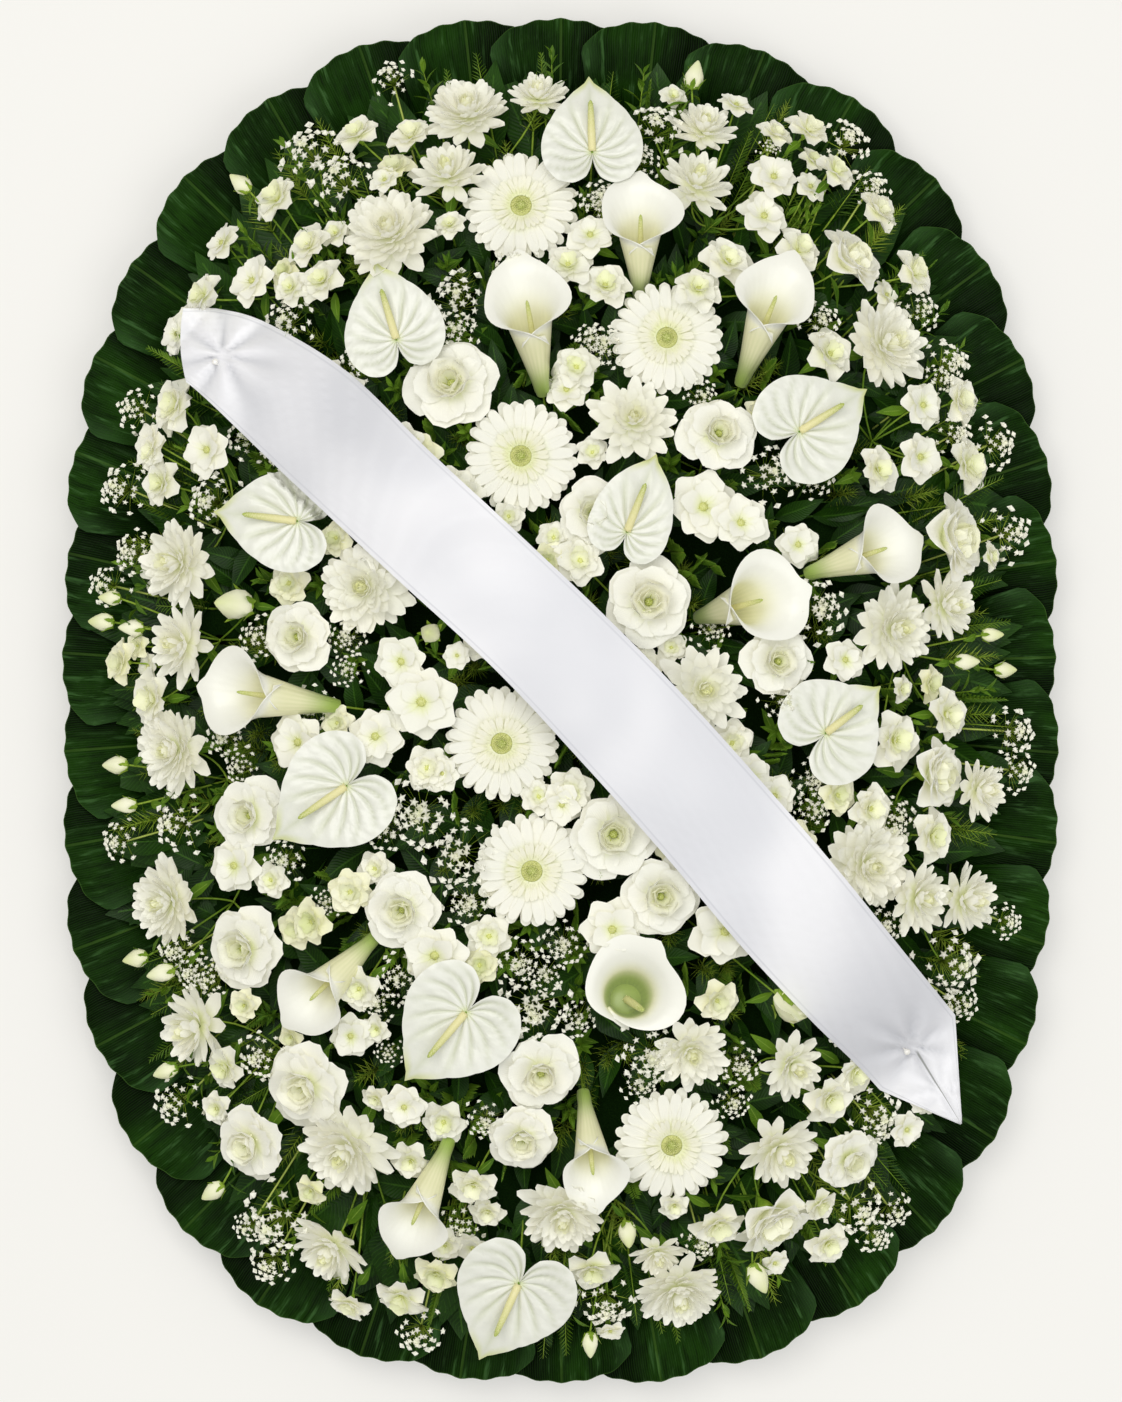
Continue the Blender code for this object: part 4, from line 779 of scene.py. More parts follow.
def starBall(finish):  # a tiny double floret of 20 faces, at the end of its own stalk along +X
    points = [(0.9, 0, 0)]
    for k in range(10):
        turn = 2 * pi * k / 10
        r = 0.13 if k % 2 else 0.06
        points.append((0.98, r * cos(turn), r * sin(turn)))
    points.append((1.07, 0, 0))
    faces = []
    for k in range(10):
        a, b = 1 + k, 1 + (k + 1) % 10
        faces += [(0, b, a), (a, b, 11)]
    return part(points, faces, np.full((len(faces), 3, 2), 0.7), finish)


breathStalk = part([(0, -0.012, -0.01), (0, 0.012, -0.01), (0, 0, 0.014), (0.92, 0, 0)],
                   [(0, 2, 1), (0, 1, 3), (1, 2, 3), (2, 0, 3)], np.full((4, 3, 2), 0.3), "wisp")


def breathHead(seed, count=42):  # a rounded cloud of tiny florets, a unit in radius
    return joined([whorl(shape, finish, count, seed, (6, 88), (1.0, 0.92), 0.0, golden, 0.1, 0.75, 0.16)
                   for shape, finish in ((starBall("breath"), "breath"), (breathStalk, "wisp"))])


heads = {
    "gerbera": [gerberaHead(3), gerberaHead(21)],
    "mum": [mumHead(5, 108, (0.98, 0.42), 0.17), mumHead(17, 98, (1.0, 0.44), 0.2)],
    "small_mum": [mumHead(8, 62, (1.0, 0.5), 0.16), mumHead(29, 56, (1.0, 0.55), 0.18)],
    "lisianthus": [silkHead(4, lisianthusLayers, True), silkHead(61, lisianthusLayers, True)],
    "rose": [silkHead(7, roseLayers, False)],
    "daisy": [starHead(2, 6, 6), starHead(14, 7, 5)],
    "floret": [starHead(6, 6, 6, "puff"), starHead(26, 6, 5, "puff")],
    "bud": [budHead()],
    "gypsophila": [breathHead(11), breathHead(32, 36)],
}
small, bud = (finishOrder.index(name) for name in ("small", "bud"))
floret = heads["floret"][0]
greener = np.where(floret["finish"] == small, bud, floret["finish"])
heads["green_floret"] = [{**floret, "finish": greener}] * 2
print("bloom heads grown:", {k: [len(h["faces"]) for h in v] for k, v in heads.items()})


# Where the solids put each bloom
kinds = {  # how far each kind tips outwards, its crown's height, its stem's radius
    "gerbera": {"tip": 20, "crown": 0.13, "stem": 3.4},
    "mum": {"tip": 50, "crown": 0.42, "stem": 2.2},
    "small_mum": {"tip": 56, "crown": 0.36, "stem": 1.9},
    "lisianthus": {"tip": 44, "crown": 0.3, "stem": 2.0},
    "rose": {"tip": 74, "crown": 0.5, "stem": 2.4},
    "daisy": {"tip": 46, "crown": 0.1, "stem": 1.8},
    "floret": {"tip": 60, "crown": 0.22, "stem": 1.6},
    "bud": {"tip": 76, "crown": 3.0, "stem": 1.6},
    "gypsophila": {"tip": 40, "crown": 0.5, "stem": 1.4},
}
shrink = 0.92  # how much narrower the solids are than the blooms
gerberas = ((-39, 498), (107, 364), (-39, 245), (-58, -41), (-28, -168), (112, -444))
# Each anthurium: where its stem meets the spathe, the way its tip points in degrees, length and width
anthuriums = [
    (32, 547, 92, 84, 102),
    (-162, 359, 106, 86, 102),
    (237, 268, 32, 86, 112),
    (-260, 179, 173, 90, 104),
    (66, 168, 69, 86, 82),
    (263, -31, 39, 76, 112),
    (-211, -83, 215, 96, 118),
    (-93, -307, 229, 97, 120),
    (-41, -579, 245, 95, 122),
]

# Each calla: the throat's foot, the way it points, how steeply it stands, its length and its mouth
callas = [
    (80, 402, 90, 32, 130, 80),
    (-17, 307, 100, 34, 150, 86),
    (180, 317, 68, 32, 148, 80),
    (245, 127, 18, 22, 122, 80),
    (137, 84, 15, 46, 128, 88),
    (-220, -4, 172, 20, 146, 84),
    (62, -302, 60, 78, 110, 100),
    (-182, -232, 224, 20, 132, 74),
    (-110, -436, 246, 20, 132, 72),
    (23, -388, 277, 30, 128, 66),
]

# Each spray: where its main stem stands, and its blooms as (kind, x, y, radius)
sprays = {
    "spray_top_left": ((-120, 552), [
        ("mum", -93, 592, 42), ("small_mum", -112, 528, 35), ("small_mum", -22, 607, 28),
        ("floret", -150, 567, 20), ("floret", -203, 569, 20), ("gypsophila", -220, 524, 24)]),
    "spray_upper_left": ((-262, 468), [
        ("mum", -170, 470, 48), ("floret", -285, 505, 22), ("bud", -318, 517, 8),
        ("floret", -252, 456, 20), ("daisy", -310, 422, 26), ("floret", -360, 407, 20),
        ("floret", -238, 421, 20), ("gypsophila", -252, 552, 24)]),
    "spray_top_right": ((165, 535), [
        ("small_mum", 144, 574, 32), ("small_mum", 137, 518, 36), ("bud", 134, 624, 9),
        ("daisy", 215, 527, 26), ("daisy", 205, 487, 27), ("floret", 250, 574, 20),
        ("gypsophila", 96, 577, 20)]),
    "spray_upper_right": ((255, 455), [
        ("floret", 278, 532, 18), ("floret", 320, 492, 20), ("floret", 357, 430, 20),
        ("rose", 290, 440, 35), ("floret", 240, 452, 20), ("floret", 168, 440, 22),
        ("floret", 138, 412, 20)]),
    "spray_top_centre": ((28, 440), [
        ("daisy", 30, 467, 24), ("floret", 8, 436, 20), ("floret", 45, 415, 20)]),
    "spray_right_shoulder": ((345, 288), [
        ("mum", 328, 357, 44), ("floret", 270, 347, 22), ("daisy", 365, 297, 24),
        ("floret", 402, 302, 20), ("floret", 410, 237, 24), ("daisy", 362, 245, 26),
        ("floret", 318, 232, 20), ("gypsophila", 392, 338, 18)]),
    "spray_right": ((355, 52), [
        ("rose", 392, 162, 42), ("small_mum", 388, 97, 34), ("mum", 335, 72, 42),
        ("daisy", 285, 42, 22), ("floret", 388, -12, 22), ("floret", 335, -38, 24),
        ("bud", 404, 40, 8), ("bud", 443, 32, 7), ("bud", 430, 67, 7)]),
    "spray_right_low": ((350, -140), [
        ("rose", 375, -73, 35), ("small_mum", 422, -88, 30), ("mum", 308, -163, 46),
        ("floret", 310, -106, 21), ("small_mum", 360, -196, 34), ("small_mum", 408, -198, 35),
        ("floret", 374, -134, 22), ("gypsophila", 395, -262, 24)]),
    "spray_left_shoulder": ((-352, 212), [
        ("floret", -388, 297, 24), ("daisy", -355, 252, 28), ("floret", -400, 218, 20),
        ("mum", -385, 139, 42), ("gypsophila", -350, 200, 20)]),
    "spray_left": ((-340, 62), [
        ("small_mum", -380, 57, 37), ("bud", -448, 104, 7), ("bud", -456, 80, 8), ("bud", -426, 74, 8),
        ("bud", -322, 97, 14), ("lisianthus", -262, 65, 34), ("floret", -410, 2, 24)]),
    "spray_left_low": ((-332, -78), [
        ("mum", -388, -48, 42), ("bud", -442, -63, 8), ("bud", -433, -103, 8),
        ("lisianthus", -310, -113, 36), ("daisy", -262, -40, 30), ("gypsophila", -385, -122, 20)]),
    "spray_left_foot": ((-340, -208), [
        ("mum", -395, -200, 42), ("daisy", -327, -163, 28), ("lisianthus", -317, -246, 40),
        ("bud", -422, -256, 8), ("bud", -396, -270, 9)]),
    "spray_lower_left": ((-298, -378), [
        ("small_mum", -367, -325, 40), ("lisianthus", -255, -383, 42), ("floret", -336, -366, 20),
        ("bud", -392, -368, 8), ("lisianthus", -312, -441, 38), ("bud", -345, -488, 8)]),
    "spray_bottom_left": ((-220, -508), [
        ("mum", -215, -448, 48), ("small_mum", -230, -548, 38), ("floret", -160, -598, 22),
        ("floret", -212, -604, 18), ("gypsophila", -286, -522, 26)]),
    "spray_bottom": ((62, -552), [
        ("mum", 3, -513, 42), ("bud", 67, -528, 9), ("mum", 120, -593, 42), ("small_mum", 98, -552, 24),
        ("floret", 32, -568, 22), ("bud", 30, -640, 8), ("gypsophila", 46, -604, 20)]),
    "spray_bottom_right": ((225, -482), [
        ("small_mum", 220, -448, 38), ("lisianthus", 290, -458, 31), ("rose", 212, -516, 40),
        ("floret", 158, -523, 22), ("bud", 197, -573, 10), ("gypsophila", 300, -508, 20)]),
    "spray_lower_right": ((190, -368), [
        ("small_mum", 233, -363, 32), ("floret", 270, -396, 22), ("floret", 296, -370, 20),
        ("small_mum", 130, -348, 36), ("gypsophila", 318, -412, 22), ("gypsophila", 90, -352, 22)]),
    "spray_lower_centre": ((-40, -402), [
        ("lisianthus", -19, -370, 38), ("lisianthus", -37, -435, 33), ("floret", -86, -482, 20),
        ("gypsophila", -26, -305, 26)]),
    "spray_centre_low": ((95, -190), [
        ("lisianthus", 53, -131, 42), ("lisianthus", 100, -193, 38), ("daisy", 52, -226, 31),
        ("daisy", 165, -228, 36), ("bud", 230, -300, 16)]),
    "spray_centre_low_left": ((-138, -190), [
        ("lisianthus", -157, -206, 37), ("daisy", -125, -252, 33), ("floret", -200, -285, 18),
        ("gypsophila", -100, -150, 26), ("gypsophila", -140, -110, 26)]),
    "spray_centre_left": ((-158, 52), [
        ("mum", -195, 114, 45), ("bud", -128, 68, 9), ("daisy", -102, 46, 14), ("daisy", -158, 40, 27),
        ("daisy", -138, 0, 36), ("daisy", -184, -34, 30)]),
    "spray_centre": ((98, 62), [
        ("lisianthus", 32, 187, 35), ("lisianthus", 88, 99, 42), ("small_mum", 143, 12, 40),
        ("lisianthus", 217, 40, 34), ("floret", 20, 140, 20), ("gypsophila", 258, 92, 22)]),
    "spray_centre_right": ((140, 232), [
        ("lisianthus", 158, 267, 37), ("small_mum", 73, 280, 41), ("daisy", 143, 194, 35),
        ("daisy", 180, 178, 29), ("gypsophila", 208, 228, 22)]),
    "spray_centre_top_left": ((-112, 330), [
        ("lisianthus", -108, 317, 44), ("gypsophila", -102, 400, 24)]),
}


def foundLift(node, point):  # how far the solids raised a bloom whose crown would be at this point
    points = column(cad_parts[node].data.vertices, "co", np.float32, 3) / mm
    gaps = [np.min(np.linalg.norm(points - np.array(list(point + up * lift)), axis=1)) for lift in lifts]
    return lifts[int(np.argmin(gaps))]


class Head:  # a bloom of the table, where its solid is
    def __init__(self, node, kind, x, y, radius, order):
        self.kind, self.radius, self.order = kind, radius, order
        solid = radius * shrink
        self.axis = tipped(x, y, kinds[kind]["tip"])
        reach = solid * (1.4 if kind == "bud" else 0.3)
        self.heart = Vector((x, y, domeHeight(x, y) - 0.2 * solid)) - self.axis * Vector((1, 1, 0)) * reach
        self.heart += up * foundLift(node, self.heart + self.axis * solid * kinds[kind]["crown"])
        back = {"bud": 0.0, "gypsophila": 0.9}.get(kind, 0.4)
        self.neck = self.heart - self.axis * solid * back
        self.axes = (*sideFrame(self.axis, order * radians(47)), self.axis)

    def bloom(self):
        choices = heads[self.kind]
        heart = self.neck if self.kind == "gypsophila" else self.heart
        size = self.radius * {"gypsophila": 1.55, "floret": 1.3, "small_mum": 1.12}.get(self.kind, 1.06)
        return placed(choices[self.order % len(choices)], self.axes, heart, size)


allHeads = []
sprayHeads = {}
gerberaHeads = {}
for k, (x, y) in enumerate(gerberas):
    gerberaHeads[f"gerbera_{k + 1}"] = Head(f"gerbera_{k + 1}", "gerbera", x, y, 53, k)
allHeads += gerberaHeads.values()
for name, (_, table) in sprays.items():
    sprayHeads[name] = [Head(name, *row, len(allHeads) + k) for k, row in enumerate(table)]
    allHeads += sprayHeads[name]
print("blooms placed:", len(allHeads))


# The ribbon
# upper and lower: the long edges; pinches: x, y, reach, depth; creases: from, to, width, depth
ribbon = {"start": (-374, 362), "middle": (42, -2), "end": (402, -423), "width": 110.0, "thick": 0.8,
          "clear": 44.0, "endHeight": 100.0, "rows": 210, "columns": 34, "droop": 5.0,
          "upper": ((-377, 394), (-340, 393), (-290, 377), (-210, 327), (-130, 249), (-40, 165), (40, 89),
                    (120, 8), (200, -80), (270, -160), (340, -246), (394, -312), (402, -421)),
          "lower": ((-373, 319), (-364, 312), (-340, 290), (-262, 215), (-165, 125), (-64, 32), (24, -62),
                    (104, -152), (178, -240), (245, -312), (296, -362), (319, -387), (401, -423)),
          "pinches": ((-336, 346, 46, 15.0), (351, -343, 34, 13.0), (380, -385, 34, 5.0)),
          "creases": (((351, -344), (401, -424), 3.4, 3.6), ((-376, 388), (-337, 347), 3.0, 2.2)),
          "swell": 4.5, "tipRows": 16, "hemFrom": 0.93, "hem": 0.35, "pleats": 7}


def ribbonLine(share):
    return curveThrough(*(Vector(ribbon[key]) for key in ("start", "middle", "end")), share)


def ribbonHeight(share):
    point = ribbonLine(share)
    over = domeHeight(point.x, point.y) + ribbon["clear"]
    rise = sin(pi * min(1.0, max(0.0, share))) ** 0.55
    return ribbon["endHeight"] * (1 - rise) + over * rise


def smoothThrough(knots, count):  # a Catmull-Rom curve through the knots, evenly along its length
    knots = np.array(knots, float)
    ends = np.vstack([2 * knots[0] - knots[1], knots, 2 * knots[-1] - knots[-2]])
    dense = []
    for a, b, c, d in zip(ends, ends[1:], ends[2:], ends[3:]):
        for t in np.linspace(0, 1, 24, endpoint=False):
            dense.append(0.5 * (2 * b + (c - a) * t + (2 * a - 5 * b + 4 * c - d) * t**2
                                + (3 * b - a - 3 * c + d) * t**3))
    dense = np.array(dense + [knots[-1]])
    runs = np.concatenate([[0], np.cumsum(np.linalg.norm(np.diff(dense, axis=0), axis=1))])
    want = np.linspace(0, runs[-1], count)
    return np.stack([np.interp(want, runs, dense[:, k]) for k in range(2)], axis=1)


def ribbonGrid():
    rows, columns, tipRows = ribbon["rows"], ribbon["columns"], ribbon["tipRows"]
    sides = []
    for side in ("lower", "upper"):
        *body, tip = ribbon[side]
        last = [np.array(body[-1]) * (1 - t) + np.array(tip) * t for t in np.linspace(0, 1, tipRows + 1)[1:]]
        sides.append(np.vstack([smoothThrough(body, rows - tipRows + 1), last]))
    samples = np.linspace(0, 1, 401)
    line = np.array([list(ribbonLine(s)) for s in samples])
    heights = np.array([ribbonHeight(s) for s in samples])
    grid = np.zeros((rows + 1, columns + 1, 3))
    foldShade = np.zeros((rows + 1, columns + 1))
    for r in range(rows + 1):
        for c in range(columns + 1):
            t = c / columns
            x, y = sides[0][r] * (1 - t) + sides[1][r] * t
            side = 2 * t - 1
            x -= ribbon["swell"] * (1 - side * side) * exp(-r / 3)
            near = int(np.argmin((line[:, 0] - x) ** 2 + (line[:, 1] - y) ** 2))
            z = heights[near] - ribbon["droop"] * side * side + ribbon["thick"]
            z += 1.7 * sin(x * 0.021 + y * 0.012) + 1.2 * sin(y * 0.043 - x * 0.017 + 1.0)
            z += ribbon["hem"] * (abs(side) > ribbon["hemFrom"])
            for px, py, reach, depth in ribbon["pinches"]:
                dx, dy = x - px, y - py
                far = hypot(dx, dy)
                fall = exp(-((far / reach) ** 2))
                turn = atan2(dy, dx)
                fold = sin(ribbon["pleats"] * turn + 0.6 * sin(2 * turn)) * min(1, far / 10)
                z += fall * depth * (0.3 * fold - 0.25)
                # painted shade, darkest in the deepest folds of each pinch
                foldShade[r, c] += fall * max(0.0, -fold) ** 1.5 * depth / 15
            here = Vector((x, y))
            for first, last, wide, deep in ribbon["creases"]:
                first, run = Vector(first), Vector(last) - Vector(first)
                share = min(1.0, max(0.0, (here - first).dot(run) / run.length_squared))
                z -= deep * exp(-(((first + run * share - here).length / wide) ** 2))
            grid[r, c] = (x, y, z)
    return grid, foldShade


ribbonTop, ribbonFoldShade = ribbonGrid()
pressing = ribbonTop[::2, ::3].copy()  # the ribbon's lowest height near each place
for axis in (0, 1):
    heights = pressing[..., 2]
    pressing[..., 2] = np.minimum(heights, np.minimum(np.roll(heights, 1, axis), np.roll(heights, -1, axis)))


floorOfBlooms = 60.0  # nothing below this height is pressed down


def underRibbon(shape, room=3.0):  # what lies below the ribbon is pressed down by it
    points = shape["points"]
    flat = pressing.reshape(-1, 3)
    low = flat.min(0)[:2] - 5
    high = flat.max(0)[:2] + 5
    around = ((points[:, :2] > low) & (points[:, :2] < high)).all(1)
    near = np.flatnonzero(around & (points[:, 2] > floorOfBlooms))
    for some in np.array_split(near, len(near) // 4000 + 1):  # few at a time, to stay within memory
        gaps = ((points[some, None, :2] - flat[None, :, :2]) ** 2).sum(2)
        inside = gaps.min(1) < 9.0**2
        roof = flat[gaps.argmin(1), 2] - room
        over = inside & (points[some, 2] > roof)
        points[some[over], 2] = roof[over] - 0.02 * (points[some[over], 2] - roof[over])
    return shape


def cover(centre, reach, drop, axis=up):  # small things pass this far below a disc that faces along the axis
    coverings.append((centre, np.array(axis.xy) / max(axis.z, 0.5), reach, drop))


coverings = []
for head in allHeads:
    if head.kind == "bud":
        for reach in (0.4, 1.2, 2.0, 2.8):
            cover(head.heart + head.axis * head.radius * reach, head.radius * 1.15, head.radius * 1.1)
    elif head.kind != "gypsophila":
        cover(head.heart, head.radius * 0.9, head.radius * 0.3, head.axis)


def underBlooms(shape):  # leaves and tiny florets pass below the blooms, not through their petals
    points = shape["points"]
    for centre, slope, reach, drop in coverings:
        away = points[:, :2] - np.array(centre.xy)
        near = np.flatnonzero((away**2).sum(1) < reach**2)
        roof = np.maximum(centre.z - drop - away[near] @ slope, floorOfBlooms)
        over = points[near, 2] > roof
        roof = roof[over]
        points[near[over], 2] = roof - 2 + 0.04 * (points[near[over], 2] - roof)
    return shape


ribbonShape = shell(ribbonTop, ribbon["thick"], "ribbon", ribbonFoldShade)
ribbonPiece = toPiece("satin_ribbon", ribbonShape, ["ribbon"])
middleLine = ribbonTop[::10, ribbon["columns"] // 2] * mm  # every tenth row: the pinches add no length
ribbonLength = float(np.linalg.norm(np.diff(middleLine, axis=0), axis=1).sum())
planLength = float(np.linalg.norm(np.diff(middleLine[:, :2], axis=0), axis=1).sum())
fine = ribbonTop[..., :2] * mm
near, far = fine[1:, 1:] - fine[:-1, :-1], fine[1:, :-1] - fine[:-1, 1:]
planArea = float(np.abs(near[..., 0] * far[..., 1] - near[..., 1] * far[..., 0]).sum() / 2)


# The gerberas and the sprays
def stemPath(head, radius):
    foot = foamFoot(head.neck.x - head.axis.x * 14, head.neck.y - head.axis.y * 14)
    middle = (head.neck - head.axis * 14).lerp(foot + up * 16, 0.45)
    return rooted(bent(head.neck + head.axis * 2, middle, foot + up * 4, (radius, radius)), foot, radius)


for name, head in gerberaHeads.items():
    shape = joined([head.bloom(), stalkPart([stemPath(head, kinds["gerbera"]["stem"])], sides=8)])
    toPiece(f"{name}_bloom", underRibbon(shape), [name])

smallLeaf = shell(petalGrid(petals["leaf"]), 0.02, "fern")


def sprayStalks(name, blooms):  # the main stem in its foam hole, and a branch to each bloom
    foot = foamFoot(*sprays[name][0])
    paths = [[(foot - up * 26, 6.0), (foot, 5.6), (foot + up * 18, 5.0), (foot + up * 32, 4.2)]]
    ranked = sorted(blooms, key=lambda h: -(Vector(h.neck.xy) - Vector(foot.xy)).length)
    for k, head in enumerate(ranked):
        height = 8 + 22 * k / max(1, len(ranked) - 1)
        joint = foot + up * height
        radius = kinds[head.kind]["stem"] * 0.8
        middle = (head.neck - head.axis * min(22, 0.6 * head.radius)).lerp(joint, 0.35)
        paths.append(bent(head.neck + head.axis * 1.5, middle, joint, (radius, radius * 1.25)))
    return stalkPart(paths, sides=6)


for name, blooms in sprayHeads.items():
    parts = [head.bloom() for head in blooms] + [sprayStalks(name, blooms)]
    for head in blooms:  # two leaves on each branch, below the bloom
        for k in range(2 if head.kind != "gypsophila" else 0):
            size = 20 + head.radius * 0.35 + 4 * k
            turn = head.order * 2.4 + k * 2.6
            way = head.axes[0] * cos(turn) + head.axes[1] * sin(turn) - head.axis * 0.15
            way.normalize()
            flank = head.axis.cross(way).normalized()
            root = head.neck - head.axis * (6 + 9 * k)
            parts.append(placed(smallLeaf, (way, flank, way.cross(flank)), root, size))
    toPiece(f"{name}_blooms", underRibbon(joined(parts)), [name])
print("gerberas and sprays made")


# The anthuriums
# Each row of the outline: turn from the tip in degrees, share of the length, share of the half width
spathe = {"rings": 11, "turns": 100, "thick": 1.2, "shrink": 0.97, "tip": 18, "stem": 3.2,
          "outline": ((0, 1.0, 0), (3, 0.92, 0), (10, 0.84, 0), (25, 0.72, 0), (49, 0.32, 0.54),
                      (76, 0, 1.04), (107, 0, 1.0), (130, 0, 0.93), (149, 0, 0.79), (166, 0, 0.55),
                      (180, 0, 0.16)),
          "veins": (0, 26, 54, 84, 116, 144, 166), "groove": 2.6, "bumps": 170}


def spatheSheet(length, width, seed):  # the heart-shaped leaf, stem at the origin, tip along +X
    half = width / 2
    known = [(turn, length * a + half * b) for turn, a, b in spathe["outline"]]
    turns, fars = zip(*known)
    rings, count = spathe["rings"], spathe["turns"]
    points, marks, creases = [(0, 0, 1.0)], [(0.5, 0.0)], [0.0]
    for r in range(1, rings + 1):
        share = r / rings
        for k in range(count):
            turn = -180 + 360 * k / count
            edge = float(np.interp(abs(turn), turns, fars)) * spathe["shrink"]
            flow = abs(turn) * (1 + 0.4 * share**2 * sin(radians(abs(turn))))
            angle = radians(turn)
            x, y = cos(angle) * edge * share, sin(angle) * edge * share
            vein = sum(exp(-(((flow - v) / 4.0) ** 2)) for v in spathe["veins"])
            pucker = 0.9 * sin(flow * 0.35 + seed) * sin(share * 16 + seed + flow * 0.05) * share
            depth = spathe["groove"] * vein * sin(pi * min(1, share * 1.1))
            z = 2 + 7 * share**1.5 - depth + pucker
            z += 1.8 * sin(3 * angle + seed * 1.7) * share**2 - 3.5 * share**8
            z -= 8.0 * exp(-((turn / 16) ** 2)) * share**4
            points.append((x, y, z))
            marks.append((0.5 + 0.5 * turn / 180, share))
            # where the vein grooves run; the finish paints their shade from this
            creases.append(min(1.0, vein) * min(1.0, share * 4) * (1 - share**4))
    faces = []
    upper = len(points)

    def at(r, k, lower=False):  # the border is shared by both sides
        if r == 0:
            return upper if lower else 0
        here = 1 + (r - 1) * count + k % count
        return here + upper if lower and r < rings else here

    for k in range(count):
        faces.append((0, at(1, k), at(1, k + 1)))
        faces.append((upper, at(1, k + 1, True), at(1, k, True)))
        for r in range(1, rings):
            for low in (False, True):
                a, b, d, e = (at(r + i, k + j, low) for i, j in ((0, 0), (0, 1), (1, 1), (1, 0)))
                faces += [(a, d, e), (a, b, d)] if low else [(a, e, d), (a, d, b)]
    inner = points[:1 + (rings - 1) * count]
    points = points + [(x, y, z - spathe["thick"]) for x, y, z in inner]
    marks = marks + marks[:len(inner)]
    creases = creases + creases[:len(inner)]
    return part(points, faces, np.array(marks)[np.array(faces)], "spathe", creases)


def spadixPart(length, radius, seed, bumps):  # along +Z, with its grain of tiny flowers
    rings = [(0, 0.8), (0.06, 1.0), (0.35, 1.02), (0.7, 0.86), (0.9, 0.66), (0.97, 0.45), (1.0, 0.15)]
    core = lathe([(z * length, r * radius * 0.9) for z, r in rings], 12, "spadix")
    bump = upright(lathe(((-0.3, 0.75), (0.6, 0.4)), 4, "spadix"))
    grown = whorl(bump, "spadix", bumps, seed, (0, 12), (radius * 0.2, radius * 0.15),
                  (radius * 0.88, radius * 0.58), golden, rise=length * 0.95, loose=0.05)
    return joined([core, grown])


for k, (x, y, heading, length, width) in enumerate(anthuriums):
    node = f"anthurium_{k + 1}"
    axis = leaned(outwards(x, y), radians(spathe["tip"]) * min(1.0, ovalShare(x, y)))
    tip = Vector((cos(radians(heading)), sin(radians(heading)), 0))
    tip = (tip - axis * tip.dot(axis)).normalized()
    across = axis.cross(tip)
    heart = Vector((x, y, domeHeight(x, y) + 6))
    way = (tip * 0.94 + axis * 0.34).normalized()
    heart += up * foundLift(node, heart + way * length * 0.64)
    flank = way.cross(axis).normalized()
    foot = foamFoot(x - axis.x * 20, y - axis.y * 20)
    stem = bent(heart + axis * 3, (heart - axis * 16).lerp(foot, 0.4), foot + up * 3, (spathe["stem"],) * 2)
    spadix = spadixPart(length * 0.6, 4.3, k, spathe["bumps"])
    shape = joined([
        placed(spatheSheet(length, width, k), (tip, across, axis), heart),
        placed(spadix, (flank, way.cross(flank), way), heart + axis * 2 + way),
        stalkPart([rooted(stem, foot, spathe["stem"])], sides=8),
    ])
    toPiece(f"{node}_bloom", underRibbon(shape), [node])
    for share, reach in ((0.3, 0.42), (0.7, 0.2)):
        cover(heart + tip * length * share, width * reach, 4.0, axis)


# The callas
calla = {"turns": 52, "rings": 24, "wall": 1.3, "shrink": 0.97, "overlap": 1.1, "stem": 5.0, "bumps": 90,
         "upright": 60, "tube": 0.55, "flare": 0.45, "tubeWidth": 0.25}


def callaShape(length, mouth, seed):  # along +Z; its long lip is at +X
    turns, rings, tube, narrow = calla["turns"], calla["rings"], calla["tube"], mouth * calla["tubeWidth"]
    start = pi + calla["overlap"] / 2
    grid = np.zeros((rings + 1, turns + 1, 3))
    for r in range(rings + 1):
        s = r / rings
        for c in range(turns + 1):
            w = c / turns
            turn = -start + 2 * start * w
            lean = 0.5 + 0.5 * cos(min(abs(turn), pi))
            front = (1 - lean) ** 3  # 1 at the fold in front, where the mouth stays narrow
            lip = mouth * (0.3 + 0.2 * (1 - front) + 0.05 * abs(sin(turn)))
            if s < tube:
                reach = s
                widths = (6.2, mouth * 0.1, mouth * 0.16, narrow)
                radius = float(np.interp(reach, (0, 0.12, 0.3, tube), widths))
            else:
                q = (s - tube) / calla["flare"]  # 0 at the tube's end, 1 at the lip
                reach = tube + q * (0.1 + 0.33 * lean) - 0.05 * max(0, q - 0.7) * 4 * (1 - front)
                reach -= 0.1 * q * max(0.0, abs(turn) - pi + 0.75) ** 2
                radius = narrow + (lip - narrow) * q**1.6
                radius += 0.09 * mouth * exp(-((turn / 0.2) ** 2)) * q**5
                radius += 0.05 * mouth * sin(3 * turn + seed) * q**3 * (1 - front)
            radius += 3.6 * (w - 0.5) * min(1, s * 2)  # one edge wraps over the other
            tip = 0.1 * length * exp(-((turn / 0.22) ** 2)) * max(0.0, s - 0.8) * 2
            grid[r, c] = (radius * cos(turn), radius * sin(turn), reach * length + tip)
    return shell(grid[:, ::-1], calla["wall"], "calla", 0.0)


